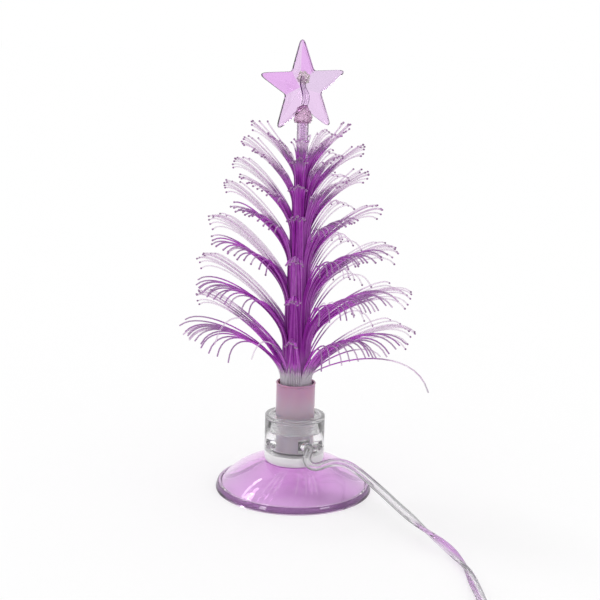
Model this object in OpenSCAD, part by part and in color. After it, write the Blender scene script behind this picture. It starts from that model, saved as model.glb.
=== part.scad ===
// Small fibre optic tree on a suction cup, lit through its trunk by one lamp in the clear holder

/* [Suction cup] */
// Diameter of the cup's rim
cup_d = 60; // [50:1:80]
// Height of the cup's flat top, where the holder sits
cup_h = 11.3; // [10:0.1:16]
// Height of the bevelled rim band
rim_h = 2.7; // [1.5:0.1:4]
// How far the top of the rim band lies inside its foot
rim_bevel = 1.6; // [0.8:0.1:3]
// Width of the flat ring that the cup stands on
rim_foot = 2.2; // [1.5:0.1:4]
// Thickness of the dome
cup_wall = 2.4; // [1.6:0.1:3.5]
// How far the dome's side swells out from a straight cone
cup_swell = 2.3; // [0.5:0.1:3.5]
// Width of the cup's flat top that shows round the holder's foot
cup_top_margin = 0.8; // [0.4:0.1:2]
// Diameter of the knob's neck
neck_d = 8; // [6:0.5:10]
// Height of the knob's neck
neck_h = 1.6; // [1.2:0.1:2.4]
// Diameter of the knob's head
knob_d = 11; // [9:0.5:13]
// Height of the knob's head
knob_h = 2; // [1.5:0.1:3]

/* [Clear holder] */
// Thickness of the holder's wall round the top ring's skirt
holder_wall = 1.55; // [1.2:0.05:3]
// Height of the holder below its top ring
holder_h = 17; // [15:0.5:22]
// Gap between the sleeve and the bore that it stands in
sleeve_gap = 0.8; // [0.4:0.1:1.2]
// Thickness of the lip that keeps the knob in
lip_t = 1.2; // [0.8:0.1:2]
// Thickness of the floor under the lamp
floor_t = 1; // [0.8:0.1:2]
// Inward draw of the holder's foot
foot_draw = 1.8; // [0.5:0.1:2.5]
// Height of the drawn-in foot
foot_h = 3; // [1.5:0.1:4]
// Height of the turned groove above the foot's bottom
groove_h = 3.9; // [3.5:0.1:5]
// Gap between the lead and the side hole that it leaves by, which the plain holes match
lead_gap = 0.35; // [0.2:0.05:0.6]
// Height of the side holes' lowest point above the holder's floor
side_hole_rise = 0.9; // [0.6:0.1:1.6]
// Angle of the lead's hole, turned from the front towards the right
lead_angle = 28.6; // [20:0.2:32]
// Angles of the plain sight holes
sight_angles = [-60, 60, 180]; // [-180:1:180]

/* [Top ring] */
// Thickness of the top ring's flange
ring_t = 1.2; // [0.8:0.1:2]
// Depth of the ring's skirt inside the holder
skirt_h = 5; // [3:0.5:7]
// Thickness of the skirt
skirt_t = 1.7; // [1.1:0.1:2.5]
// Count of fine ribs round the skirt
skirt_ribs = 5; // [2:1:7]

/* [Sleeve] */
// Outer diameter of the sleeve
sleeve_d = 14.8; // [14:0.1:18]
// Length of the sleeve
sleeve_l = 26; // [20:0.5:34]
// Thickness of the sleeve's wall
sleeve_wall = 0.6; // [0.5:0.1:1]
// Thickness of the rolled bead round the mouth
bead_t = 0.7; // [0.4:0.1:1.2]
// Gap between the lead and the sides of the notch in the sleeve's foot
notch_gap = 0.75; // [0.5:0.05:1.2]

/* [Lamp] */
// Diameter of the lamp's dome
lamp_d = 5; // [3:0.5:5]
// Height of the lamp
lamp_h = 8.6; // [6:0.2:10]
// Thickness of the circuit board
board_t = 1; // [0.8:0.1:1.6]
// Height of the lamp holder
lamp_holder_h = 5.8; // [5.4:0.1:7]
// Distance between the lamp's two legs
leg_pitch = 2.54; // [2.4:0.02:2.8]

/* [Fibres] */
// Wall of the ferrule between the bundle of fibres and the sleeve
ferrule_t = 0.6; // [0.4:0.1:1]
// Gap between the lamp and the bundle
lamp_gap = 0.6; // [0.4:0.1:3]
// Length of the ferrule round the bundle's end
ferrule_l = 6; // [4:0.5:9]
// Height at which each tier leaves the trunk, above the sleeve's mouth, lowest first
tier_rise = [2.1, 15.7, 30.7, 45.7, 57.7, 68.2, 77.2]; // [1:0.1:90]
// Reach of each tier's longest strands from the axis
tier_reach = [46, 43, 38, 33, 27.5, 23, 20]; // [14:0.5:50]
// Rise of each tier's strands to their crest
tier_crest = [23, 23, 22, 19.5, 18, 16.5, 15]; // [8:0.5:26]
// Rise of each tier's tips above its foot
tier_tip = [15.5, 17, 18.5, 19.5, 19.5, 18.5, 17]; // [10:0.5:24]
// Strands in each frond, lowest tier first
strand_counts = [11, 10, 9, 8, 7, 6, 5]; // [4:1:11]
// Slope added to each frond round a tier: front, front right, back right, back, back left, front left
frond_slope = [0.06, -0.12, -0.02, 0.1, 0.26, 0.04]; // [-0.2:0.01:0.3]
// Share of the tier's reach that each frond has, in the same order
frond_share = [0.88, 1, 1, 0.88, 1, 1]; // [0.7:0.01:1]
// Angle that one frond's tips spread over
fan_angle = 44; // [20:1:50]
// Turn of the first frond from the front
frond_turn = -10; // [-30:1:30]
// Thickness of the top tier's trunk slice round the stem
top_slice_t = 0.54; // [0.5:0.02:1]
// Thickness of a strand
strand_d = 0.5; // [0.4:0.02:0.52]

/* [Stem and star] */
// Outer diameter of the stem tube
stem_d = 4.3; // [3.4:0.1:5.4]
// Wall of the stem tube
stem_wall = 0.6; // [0.4:0.1:0.8]
// Height of the stem tube's top end above the top tier's foot
stem_rise = 21.5; // [18:0.5:40]
// Gap between the stem tube and the star's lower corner
star_gap = 4.4; // [3:0.1:6]
// Distance from the star's centre to a point
star_r = 17.2; // [12:0.2:22]
// Distance from the star's centre to an inner corner
star_notch_r = 7.4; // [5:0.1:9]
// Depth of the star's rim
star_rim = 1.4; // [1:0.1:2.5]
// Height of the ridges above the rim
star_ridge = 3; // [1.5:0.1:5]
// Wall of the star's shell
star_wall = 0.9; // [0.7:0.1:1.3]
// Angle that the star is turned from the front
star_turn = 25; // [-40:1:40]

/* [Lead and plug] */
// Width of the twin lead
lead_d = 3.1; // [2.4:0.1:3.8]
// Gap between the coil's turns
coil_gap = 0.5; // [0.45:0.05:1]
// Least radius of the coil, where its spiral turns back
coil_inner_r = 10.7; // [10:0.1:12]
// Whole and part turns of the coil's lower layer
coil_low_turns = 3.6; // [2:0.05:5]
// Whole and part turns of the coil's upper layer
coil_high_turns = 3.65; // [2:0.05:5]
// Width of the tie round the coil
tie_w = 6; // [4:0.5:10]
// Thickness of the tie
tie_t = 0.6; // [0.4:0.1:1]
// Width of the plug's grip
grip_w = 15; // [13:0.5:18]
// Height of the plug's grip
grip_h = 7.2; // [6:0.1:8]
// Length of the plug's grip
grip_l = 18; // [14:1:30]

/* [Hidden] */

// Round surfaces are drawn with this many sides
$fn = 48;
// Overshoot of a cut past the face it opens
over = 0.1;
// Gap between faces that turn or slide on each other
slip = 0.1;
// Gap round pieces that move past each other
loose = 0.3;
// Gap round pieces that are pushed or glued together
snug = 0.05;

// Diameters that follow from the sleeve outwards and inwards
bore_d = sleeve_d + 2 * sleeve_gap;
skirt_d = bore_d + 2 * skirt_t;
holder_d = skirt_d + 2 * snug + 2 * holder_wall;
cup_top_d = holder_d - 2 * foot_draw + 2 * cup_top_margin;
bundle_d = sleeve_d - 2 * (sleeve_wall + ferrule_t + 2 * snug);
side_hole_d = lead_d + 2 * lead_gap;
notch_w = lead_d + 2 * notch_gap;

// Heights of the stack, from the table up
holder_z = cup_h + slip;
socket_top = cup_h + neck_h + knob_h + loose;
floor_z = socket_top + floor_t;
holder_top = holder_z + holder_h;
sleeve_z = floor_z + slip;
sleeve_top = sleeve_z + sleeve_l;
side_hole_z = floor_z + side_hole_rise + side_hole_d / 2;
board_z = floor_z + lamp_holder_h - board_t;
lamp_z = floor_z + lamp_holder_h;
bundle_z = lamp_z + lamp_h + lamp_gap;
stem_z = bundle_z + ferrule_l - 1;
tier_count = len(tier_rise);
tier_foot = [for (rise = tier_rise) sleeve_top + rise];
stem_top = tier_foot[tier_count - 1] + stem_rise;
star_z = stem_top + star_gap + star_notch_r;
// The star's ridges point away from the viewer, and its open side faces the viewer
star_aim = star_turn + 180;

frond_count = len(frond_slope);
stem_bore_r = stem_d / 2 + snug;
core_r = stem_d / 2 - stem_wall - snug;
// The trunk is a stack of slices with this many sides, each slimmer than the one below
trunk_sides = 12;
trunk_step = (bundle_d / 2 - stem_bore_r - top_slice_t) / (tier_count - 1);
trunk_r = [for (i = [0:tier_count - 1]) bundle_d / 2 - i * trunk_step];
slice_z = [for (i = [0:tier_count - 1]) i == 0 ? tier_foot[0] - 3.4 : tier_foot[i - 1]];

// The lead's route over the cup's shoulder and along the table, in millimetres
run_points = [[4.8, -8.8, 19], [5.5, -10.1, 19], [5.7, -11.7, 18.8], [5.3, -13.2, 18.2], [4.9, -14.5, 17.2],
              [5, -15.5, 16], [5.9, -16.1, 14.8], [7.6, -15.9, 13.9], [9.6, -14.7, 13.7], [11.6, -12.7, 13.8],
              [13.8, -10.6, 13.7], [16.3, -8.9, 13.4], [18.8, -8, 12.8], [21.1, -8.3, 12.1],
              [22.9, -9.3, 11.4], [24.9, -12.2, 10.9], [27.2, -16.2, 10.3], [29.8, -21, 9.6],
              [33.6, -28.3, 8.5], [38.2, -37.1, 7], [42.4, -45, 5.8], [45.3, -50, 4.9],
              [48.6, -54.8, 3.9], [51.8, -59.2, 2.9], [54.4, -64.2, 2.1], [56.5, -71.2, 1.7], [57.7, -77.6, 1.6],
              [58.5, -86, 1.6], [59.1, -94, 1.6], [59.5, -102, 1.6], [59.9, -110, 1.7],
              [60.2, -119, 1.9], [60.3, -128, 2.2], [60.3, -136.9, 2.3]];
// The lead's short end, in steps measured from the coil's end to the plug
tail_steps = [[-5.5, 0, -0.6], [-11.5, -0.4, -2.3], [-17, -0.7, -3.7], [-22.3, -0.8, -4.2],
              [-27.3, 0.3, -4.2], [-30.8, 3.1, -3.8], [-32.4, 6.8, -3], [-32.5, 10.6, -2.2],
              [-32.5, 13.8, -2.2]];
// Rings and sides that a coil's turn is drawn with
coil_rings = 24;
coil_sides = 6;
relief_l = 6;
shell_size = [12, 12, 4.5];
shell_wall = 0.4;

function unit(v) = v / norm(v);
function along(angle, r, z) = [r * sin(angle), -r * cos(angle), z];
function path_dir(p, i) = unit(p[min(i + 1, len(p) - 1)] - p[max(i - 1, 0)]);
function path_length(p) = len(p) < 2 ? 0 : sumv([for (i = [1:len(p) - 1]) norm(p[i] - p[i - 1])]);
function sumv(v) = v * [for (x = v) 1];
// A side direction at each point, carried along the path without twist
function carried(v, d) = unit(v - d * (v * d));
function path_sides(p, first) =
    [for (i = 0, s = carried(first, path_dir(p, 0)); i < len(p);
          i = i + 1, s = i < len(p) ? carried(s, path_dir(p, i)) : s) s];

// A tube of a few flat sides along a path
module swept_tube(path, d, sides, first = [0, 0, 1]) {
    across = path_sides(path, first);
    points = [for (i = [0:len(path) - 1], k = [0:sides - 1])
              let (u = across[i], w = cross(path_dir(path, i), u), a = 360 * k / sides)
              path[i] + d / 2 * (cos(a) * u + sin(a) * w)];
    last = (len(path) - 1) * sides;
    skin = [for (i = [0:len(path) - 2], k = [0:sides - 1])
            let (a = i * sides + k, b = i * sides + (k + 1) % sides)
            each [[a, a + sides, b], [b, a + sides, b + sides]]];
    near_end = [for (k = [1:sides - 2]) [0, k, k + 1]];
    far_end = [for (k = [1:sides - 2]) [last, last + k + 1, last + k]];
    polyhedron(concat(points), concat(skin, near_end, far_end));
}

// Dome line from the rim band's top to the flat top, swollen by a parabola
function dome_line(r0, z0, r1, z1, swell, steps = 12) =
    let (n = unit([z1 - z0, r0 - r1]))
    [for (i = [0:steps]) let (s = i / steps)
     [r0 + (r1 - r0) * s, z0 + (z1 - z0) * s] + n * 4 * swell * s * (1 - s)];

module suction_cup() {
    rim_r = cup_d / 2;
    ceiling_r = cup_top_d / 2 - cup_wall;
    outer = dome_line(rim_r - rim_bevel, rim_h, cup_top_d / 2, cup_h, cup_swell);
    hollow = dome_line(rim_r - rim_foot - 0.8, 0.9, ceiling_r, cup_h - cup_wall, cup_swell - 0.3);
    color([0.80, 0.52, 0.84, 0.6])
    rotate_extrude($fn = 96)
    polygon(concat([[rim_r - rim_foot, 0], [rim_r - 0.5, 0], [rim_r, 0.5], [rim_r - 0.1, 1]], outer,
                   [[neck_d / 2, cup_h], [neck_d / 2, cup_h + neck_h], [knob_d / 2, cup_h + neck_h],
                    [knob_d / 2, cup_h + neck_h + knob_h - 0.6],
                    [knob_d / 2 - 0.6, cup_h + neck_h + knob_h], [0, cup_h + neck_h + knob_h]],
                   [[0, cup_h - cup_wall]], [for (i = [len(hollow) - 1:-1:0]) hollow[i]]));
}

module side_hole(angle) {
    translate(along(angle, bore_d / 2 - 1, side_hole_z))
    rotate([90, 0, angle])
    cylinder(d = side_hole_d, h = (holder_d - bore_d) / 2 + 2);
}

module holder_barrel() {
    r = holder_d / 2;
    groove_z = holder_z + groove_h;
    outline = [[neck_d / 2 + slip, holder_z], [r - foot_draw, holder_z],
               [r - foot_draw * 0.42, holder_z + foot_h * 0.38], [r - foot_draw * 0.1, holder_z + foot_h * 0.8],
               [r, holder_z + foot_h], [r, groove_z - 0.25], [r - 0.35, groove_z], [r, groove_z + 0.25],
               [r, holder_top], [skirt_d / 2 + snug, holder_top],
               [skirt_d / 2 + snug, holder_top - skirt_h - slip], [bore_d / 2, holder_top - skirt_h - slip],
               [bore_d / 2, floor_z], [0, floor_z], [0, socket_top],
               [knob_d / 2 + loose + 0.1, socket_top], [knob_d / 2 + loose + 0.1, holder_z + lip_t],
               [neck_d / 2 + slip, holder_z + lip_t]];
    color([0.93, 0.95, 0.96, 0.45])
    difference() {
        rotate_extrude($fn = 96) polygon(outline);
        for (angle = concat(lead_angle, sight_angles)) side_hole(angle);
    }
}

module top_ring() {
    r = holder_d / 2;
    rib_pitch = (skirt_h - 0.6) / skirt_ribs;
    ribs = [for (i = [skirt_ribs - 1:-1:0]) let (z = holder_top - skirt_h + 0.3 + i * rib_pitch)
            each [[skirt_d / 2, z + rib_pitch * 0.7], [skirt_d / 2, z + rib_pitch * 0.3],
                  [skirt_d / 2 - 0.2, z + rib_pitch * 0.1]]];
    outline = concat([[skirt_d / 2 - 0.2, holder_top]], ribs,
                     [[skirt_d / 2 - 0.3, holder_top - skirt_h], [bore_d / 2, holder_top - skirt_h],
                      [bore_d / 2, holder_top + ring_t - 0.5], [bore_d / 2 + 0.4, holder_top + ring_t],
                      [r - 0.7, holder_top + ring_t], [r - 0.2, holder_top + ring_t - 0.25],
                      [r, holder_top + ring_t - 0.7], [r, holder_top + 0.2], [r - 0.2, holder_top]]);
    color([0.90, 0.92, 0.93, 0.6])
    rotate_extrude($fn = 96) polygon(outline);
}

lamp_holder_r = sleeve_d / 2 - sleeve_wall - loose;
cavity_r = lamp_holder_r - 1.7;
board_r = lamp_holder_r - 1.2;
holder_base_t = 0.9;
slot_w = lead_d + 0.6;
slot_h = lamp_holder_h - board_t - holder_base_t - 0.4;

module lamp_holder() {
    color([0.92, 0.92, 0.9])
    difference() {
        translate([0, 0, floor_z]) cylinder(r = lamp_holder_r, h = lamp_holder_h);
        translate([0, 0, floor_z + holder_base_t]) cylinder(r = cavity_r, h = lamp_holder_h);
        translate([0, 0, board_z]) cylinder(r = board_r + snug, h = board_t + over);
        rotate([0, 0, lead_angle])
            translate([-slot_w / 2, -lamp_holder_r - over, floor_z + holder_base_t])
            cube([slot_w, lamp_holder_r - cavity_r + 1, slot_h]);
    }
}

// A small comb that grips the two wires in the lamp holder's slot
module cord_clip() {
    clip_w = slot_w - 2 * snug;
    color([0.25, 0.25, 0.27])
    rotate([0, 0, lead_angle])
    difference() {
        translate([-clip_w / 2, -lamp_holder_r + 0.2, floor_z + holder_base_t])
            cube([clip_w, 1.1, slot_h - snug]);
        for (x = [-wire_pitch / 2, wire_pitch / 2])
            translate([x, -lamp_holder_r - 1, side_hole_z]) rotate([-90, 0, 0])
            cylinder(d = wire_d + 2 * snug, h = 4);
    }
}

module circuit_board() {
    color([0.15, 0.42, 0.25])
    difference() {
        translate([0, 0, board_z]) cylinder(r = board_r, h = board_t);
        for (x = [-leg_pitch / 2, leg_pitch / 2])
            rotate([0, 0, lead_angle]) translate([x, 0, board_z - over])
            cylinder(d = leg_hole_d, h = board_t + 2 * over);
    }
}

module chip_resistor() {
    color([0.12, 0.12, 0.13])
    rotate([0, 0, lead_angle])
    translate([-0.8, 2.2, board_z - 0.5]) cube([1.6, 0.8, 0.5]);
}

module lamp() {
    flange_d = lamp_d + 0.8;
    color([0.96, 0.96, 0.98, 0.7]) {
        translate([0, 0, lamp_z]) cylinder(d = flange_d, h = 1);
        translate([0, 0, lamp_z + 1]) cylinder(d = lamp_d, h = lamp_h - lamp_d / 2 - 1);
        translate([0, 0, lamp_z + lamp_h - lamp_d / 2])
        intersection() {
            sphere(d = lamp_d);
            cylinder(d = lamp_d + 1, h = lamp_d);
        }
    }
}

wire_d = lead_d / 2 - 0.15;
wire_pitch = lead_d / 2 + 0.05;
leg_t = 0.5;
leg_hole_d = 0.9;
leg_end_z = side_hole_z + 0.3 - wire_d / 2;

module lamp_legs() {
    color([0.8, 0.8, 0.82])
    rotate([0, 0, lead_angle])
    for (x = [-leg_pitch / 2, leg_pitch / 2])
        translate([x - leg_t / 2, -leg_t / 2, leg_end_z]) cube([leg_t, leg_t, lamp_z - leg_end_z]);
}

// The two wires inside the holder, from the lead's end to the lamp's legs
module wire_tails() {
    z = side_hole_z;
    low_z = z - wire_d / 2;
    color([0.85, 0.84, 0.86])
    rotate([0, 0, lead_angle])
    for (side = [-1, 1]) {
        near = side * wire_pitch / 2;
        far = side * leg_pitch / 2;
        swept_tube([[near, -10, z], [near, -8, z], [near, -5.2, z], [(near + far) / 2, -3.2, z - 0.35],
                    [far, -1.4, low_z - 0.05], [far, -0.45, low_z + 0.05], [far, 0, leg_end_z + 0.4 - wire_d / 2],
                    [far, 0, leg_end_z]], wire_d, 8);
    }
}

module shrink_sleeves() {
    color([0.2, 0.2, 0.22])
    rotate([0, 0, lead_angle])
    for (x = [-leg_pitch / 2, leg_pitch / 2])
        translate([x, 0, leg_end_z])
        difference() {
            cylinder(d = 1.9, h = 1.35);
            translate([0, 0, -over]) cylinder(d = leg_hole_d, h = 2);
        }
}

module sleeve() {
    r = sleeve_d / 2;
    notch_top = side_hole_z + lead_d / 2 + 0.8;
    color([0.85, 0.72, 0.80, 0.8])
    difference() {
        union() {
            translate([0, 0, sleeve_z]) cylinder(r = r, h = sleeve_l, $fn = 96);
            translate([0, 0, sleeve_top - bead_t / 2])
                rotate_extrude($fn = 96) translate([r - bead_t / 2 + 0.2, 0]) circle(d = bead_t, $fn = 24);
        }
        translate([0, 0, sleeve_z - 1]) cylinder(r = r - sleeve_wall, h = sleeve_l + 2, $fn = 96);
        rotate([0, 0, lead_angle])
            translate([-notch_w / 2, -r - 1, sleeve_z - 1]) cube([notch_w, r, notch_top - sleeve_z + 1]);
    }
}

module bundle_ferrule() {
    color([0.75, 0.76, 0.78])
    difference() {
        translate([0, 0, bundle_z]) cylinder(r = sleeve_d / 2 - sleeve_wall - snug, h = ferrule_l);
        translate([0, 0, bundle_z - 1]) cylinder(r = bundle_d / 2 + snug, h = ferrule_l + 2);
    }
}

module fibre_bundle() {
    color([0.93, 0.90, 0.94])
    difference() {
        translate([0, 0, bundle_z]) cylinder(d = bundle_d, h = slice_z[0] - bundle_z);
        translate([0, 0, bundle_z - 1]) cylinder(r = core_r + snug, h = ferrule_l + 2);
        translate([0, 0, stem_z]) cylinder(r = stem_bore_r, h = slice_z[0] - stem_z + 1);
    }
}

// One strand: it leaves the trunk at its foot, rises to its crest and bends over to its tip
function strand_path(tier, frond, i) =
    let (n = strand_counts[tier],
         share = (i - (n - 1) / 2) / (n - 1),
         side = share * share,
         middle = frond_turn + 360 / frond_count * frond,
         foot_a = middle + (i - (n - 1) / 2) * 360 / frond_count / n,
         tip_a = middle + share * fan_angle,
         reach = tier_reach[tier] * frond_share[frond] * (1 - 0.4 * side),
         slope = frond_slope[frond] * reach,
         foot_z = tier_foot[tier],
         crest = tier_crest[tier],
         rise_r = 0.28,
         crest_r = 0.6)
    [along(foot_a, trunk_r[tier] * cos(180 / trunk_sides) - 0.15, foot_z - 1),
     along(0.7 * foot_a + 0.3 * tip_a, rise_r * reach, foot_z + 0.62 * crest - 3 * side + slope * rise_r),
     along(0.3 * foot_a + 0.7 * tip_a, crest_r * reach, foot_z + crest - 5 * side + slope * crest_r),
     along(tip_a, reach, foot_z + tier_tip[tier] - 8 * side + slope)];

module strand(tier, frond, i) {
    path = strand_path(tier, frond, i);
    swept_tube(path, strand_d, 3, cross(path_dir(path, 0), [0, 0, 1]));
}

// A tier: its slice of the trunk, with the fronds that leave at the slice's top
module fibre_tier(tier) {
    fade = tier / (tier_count - 1);
    color([0.62 + 0.1 * fade, 0.25 + 0.15 * fade, 0.66 + 0.08 * fade])
    union() {
        difference() {
            translate([0, 0, slice_z[tier]])
                cylinder(r = trunk_r[tier], h = tier_foot[tier] - slice_z[tier], $fn = trunk_sides);
            translate([0, 0, slice_z[tier] - 1])
                cylinder(r = stem_bore_r, h = tier_foot[tier] - slice_z[tier] + 2);
        }
        for (frond = [0:frond_count - 1], i = [0:strand_counts[tier] - 1]) strand(tier, frond, i);
    }
}

module stem_tube() {
    color([0.86, 0.66, 0.90, 0.6])
    difference() {
        translate([0, 0, stem_z]) cylinder(d = stem_d, h = stem_top - stem_z);
        translate([0, 0, stem_z - 1]) cylinder(d = stem_d - 2 * stem_wall, h = stem_top - stem_z + 2);
    }
}

module stem_core() {
    color([0.70, 0.40, 0.76])
    translate([0, 0, bundle_z]) cylinder(r = core_r, h = stem_top - bundle_z);
}

socket_h = star_gap + 2;
socket_r = stem_d / 2 + 1.35;
socket_z = stem_top - 0.9;
glue_rise = 3.6;
glue_r = 2.5;
glue_h = 3;
stalk_z = socket_z + socket_h;
stalk_size = [2.9, 1.2, star_z + glue_rise + 0.5 - stalk_z];

module star_socket() {
    color([0.72, 0.55, 0.74])
    difference() {
        translate([0, 0, socket_z])
            rotate_extrude() polygon([[0, 0], [socket_r - 0.7, 0], [socket_r, 1], [socket_r - 0.1, 3],
                                      [socket_r - 0.8, 5], [socket_r - 1.6, socket_h], [0, socket_h]]);
        translate([0, 0, socket_z - over]) cylinder(d = stem_d + 2 * snug, h = stem_top - socket_z + over);
        at_star() star_block();
    }
}

module star_stalk() {
    color([0.90, 0.86, 0.92, 0.7])
    rotate([0, 0, star_aim])
    translate([-stalk_size[0] / 2, 0, stalk_z]) cube(stalk_size);
}

// Outline of a star with rounded points, as [across, up] pairs
function star_outline(tip_r, notch_r, round_w) =
    [for (k = [0:4]) let (a = 90 + 72 * k, tip = [cos(a), sin(a)], side = [-sin(a), cos(a)])
     each [tip * (tip_r - round_w) - side * round_w * 0.8, tip * tip_r,
           tip * (tip_r - round_w) + side * round_w * 0.8,
           notch_r * [cos(a + 36), sin(a + 36)]]];

// Points of a star's outline at one depth
function star_ring(line, depth) = [for (p = line) [p[0], depth, p[1]]];
// Skin of a star with its rim from ring a to ring b, and facets from ring b to its peak
function star_skin(n, a, b, peak) =
    [for (i = [0:n - 1]) let (j = (i + 1) % n)
     each [[a + i, b + i, a + j], [a + j, b + i, b + j], [peak, b + j, b + i]]];
function turned(faces) = [for (f = faces) [f[0], f[2], f[1]]];

tip_round = 1.4;
star_line = star_outline(star_r, star_notch_r, tip_round);
hollow_line = star_outline(star_r - 3 * star_wall, star_notch_r - star_wall, tip_round * 0.65);
star_n = len(star_line);
star_peak = -star_rim - star_ridge;

// Pieces of the star are drawn round its centre, with its ridges along -Y, and turned to their place here
module at_star() {
    translate([0, 0, star_z]) rotate([0, 0, star_aim]) children();
}

// The star as if it were solid, to cut what grips it
module star_block() {
    faces = [for (i = [0:star_n - 1]) [2 * star_n + 1, i, (i + 1) % star_n]];
    polyhedron(concat(star_ring(star_line, 0), star_ring(star_line, -star_rim), [[0, star_peak, 0], [0, 0, 0]]),
               concat(star_skin(star_n, 0, star_n, 2 * star_n), faces));
}

// The star's shell, open at the back
module star_shell() {
    n = star_n;
    points = concat(star_ring(star_line, 0), star_ring(star_line, -star_rim), star_ring(hollow_line, 0),
                    star_ring(hollow_line, -star_rim + star_wall * 0.6),
                    [[0, star_peak, 0], [0, star_peak + star_wall, 0]]);
    back = [for (i = [0:n - 1]) let (j = (i + 1) % n) each [[2 * n + i, i, j], [2 * n + i, j, 2 * n + j]]];
    polyhedron(points, concat(star_skin(n, 0, n, 4 * n), turned(star_skin(n, 2 * n, 3 * n, 4 * n + 1)), back));
}

module star() {
    color([0.86, 0.66, 0.90, 0.6])
    at_star() star_shell();
}

// The drop of glue in the star's hollow, from its shell back to the stalk
module star_glue() {
    color([0.85, 0.80, 0.86, 0.8])
    at_star() difference() {
        translate([0, 0, glue_rise]) rotate([90, 0, 0])
            rotate_extrude() polygon([[0, 0], [glue_r, 0], [glue_r, glue_h - 2.2], [glue_r - 0.4, glue_h - 1.1],
                                      [glue_r - 1.3, glue_h - 0.3], [0, glue_h]]);
        star_shell();
    }
}

// The coil: its lower layer winds in, climbs where it turns back, and its upper layer winds out
coil_turns = coil_low_turns + coil_high_turns;
coil_pitch = lead_d + coil_gap;
run_end = run_points[len(run_points) - 1];
coil_centre = run_end - [coil_inner_r + coil_pitch * coil_low_turns, lead_d, 0];
function coil_point(turn) =
    let (from_back = turn - coil_low_turns,
         r = coil_inner_r + coil_pitch * abs(from_back),
         climb = min(1, max(0, from_back * 2 + 0.5)))
    coil_centre + [r * cos(360 * turn), -r * sin(360 * turn), coil_pitch * climb];
function coil_end(turn, sense) =
    let (p = coil_point(turn), way = [sin(360 * turn), cos(360 * turn), 0])
    p - sense * lead_d * way;
coil_steps = ceil(coil_turns * coil_rings);
coil_path = concat([coil_end(0, -1)], [for (i = [0:coil_steps]) coil_point(coil_turns * i / coil_steps)],
                   [coil_end(coil_turns, 1)]);
tail_start = coil_end(coil_turns, 1);
tail_path = concat([tail_start], [for (step = tail_steps) tail_start + step]);
plug_start = tail_path[len(tail_path) - 1];
coil_least_gap = min([for (i = [0:len(coil_path) - 1], j = [i + coil_rings / 2:1:len(coil_path) - 1])
                norm(coil_path[i] - coil_path[j])]) - lead_d;

module lead_run() {
    color([0.83, 0.80, 0.85])
    swept_tube(run_points, lead_d, 8);
}

module lead_coil() {
    echo(coil_least_gap = coil_least_gap, coil_length = path_length(coil_path),
         lead_length = path_length(coil_path) + path_length(run_points) + path_length(tail_path));
    color([0.83, 0.80, 0.85])
    swept_tube(coil_path, lead_d, coil_sides);
}

module lead_tail() {
    color([0.83, 0.80, 0.85])
    swept_tube(tail_path, lead_d, 8);
}

// A band round the coil's turns, on the side towards the plug
module coil_tie() {
    room = 0.15;
    in_r = sqrt(pow(coil_inner_r - lead_d / 2, 2) - pow(tie_w / 2, 2)) - room;
    out_r = coil_inner_r + coil_pitch * coil_high_turns + lead_d / 2 + room;
    low = coil_centre[2] - lead_d / 2 - 0.1;
    high = coil_centre[2] + coil_pitch + lead_d / 2 + room;
    color([0.35, 0.35, 0.38])
    translate([coil_centre[0], coil_centre[1], 0])
    rotate([0, 0, 150])
    translate([0, tie_w / 2, 0])
    rotate([90, 0, 0])
    linear_extrude(tie_w)
    difference() {
        translate([in_r - tie_t, low - tie_t]) square([out_r - in_r + 2 * tie_t, high - low + 2 * tie_t]);
        translate([in_r, low]) square([out_r - in_r, high - low]);
    }
}

// The plug's pieces are drawn along +Y from its cord end
module at_plug() {
    translate(plug_start) rotate([-90, 0, 0]) children();
}

module plug_strain_relief() {
    color([0.86, 0.86, 0.88])
    at_plug() difference() {
        cylinder(d1 = lead_d + 1.2, d2 = 6, h = relief_l);
        for (i = [0:2]) translate([-4, -4, 1.2 + 1.6 * i])
            difference() {
                cube([8, 8, 0.7]);
                translate([4, 4, -over]) cylinder(d = lead_d + 0.9, h = 1);
            }
    }
}

module rounded_bar(w, h, l, r) {
    linear_extrude(l)
    hull() for (x = [-1, 1], y = [-1, 1]) translate([x * (w / 2 - r), y * (h / 2 - r)]) circle(r = r, $fn = 24);
}

module plug_grip() {
    color([0.86, 0.86, 0.88])
    at_plug() translate([0, 0, relief_l])
    difference() {
        rounded_bar(grip_w, grip_h, grip_l, 2);
        translate([-shell_size[0] / 2 - snug, -shell_size[2] / 2 - snug, grip_l - 4])
            cube([shell_size[0] + 2 * snug, shell_size[2] + 2 * snug, 5]);
        for (side = [-1, 1], i = [0:3])
            translate([-grip_w / 2 + 3, side * grip_h / 2 - 0.3, 3 + 2 * i]) cube([grip_w - 6, 0.6, 0.8]);
    }
}

shell_z = relief_l + grip_l - 4;

module plug_shell() {
    size = [shell_size[0], shell_size[2], shell_size[1] + 4];
    color([0.78, 0.79, 0.8])
    at_plug() translate([-size[0] / 2, -size[1] / 2, shell_z])
    difference() {
        cube(size);
        translate([shell_wall, shell_wall, 0.6]) cube([size[0] - 2 * shell_wall, size[1] - 2 * shell_wall, size[2]]);
        for (x = [2.2, size[0] - 4.5])
            translate([x, -over, 4 + 4.2]) cube([2.3, size[1] + 2 * over, 2.3]);
    }
}

tongue_size = [11, 1.9, 13.6];

module plug_tongue() {
    color([0.93, 0.93, 0.92])
    at_plug() translate([-tongue_size[0] / 2, -shell_size[2] / 2 + shell_wall, shell_z + 0.6])
    cube(tongue_size);
}

module plug_contacts() {
    color([0.85, 0.68, 0.3])
    at_plug()
    for (i = [0:3])
        translate([-4.2 + 2.4 * i, -shell_size[2] / 2 + shell_wall + tongue_size[1], shell_z + 4.6])
        cube([1.1, 0.3, 9]);
}

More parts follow.
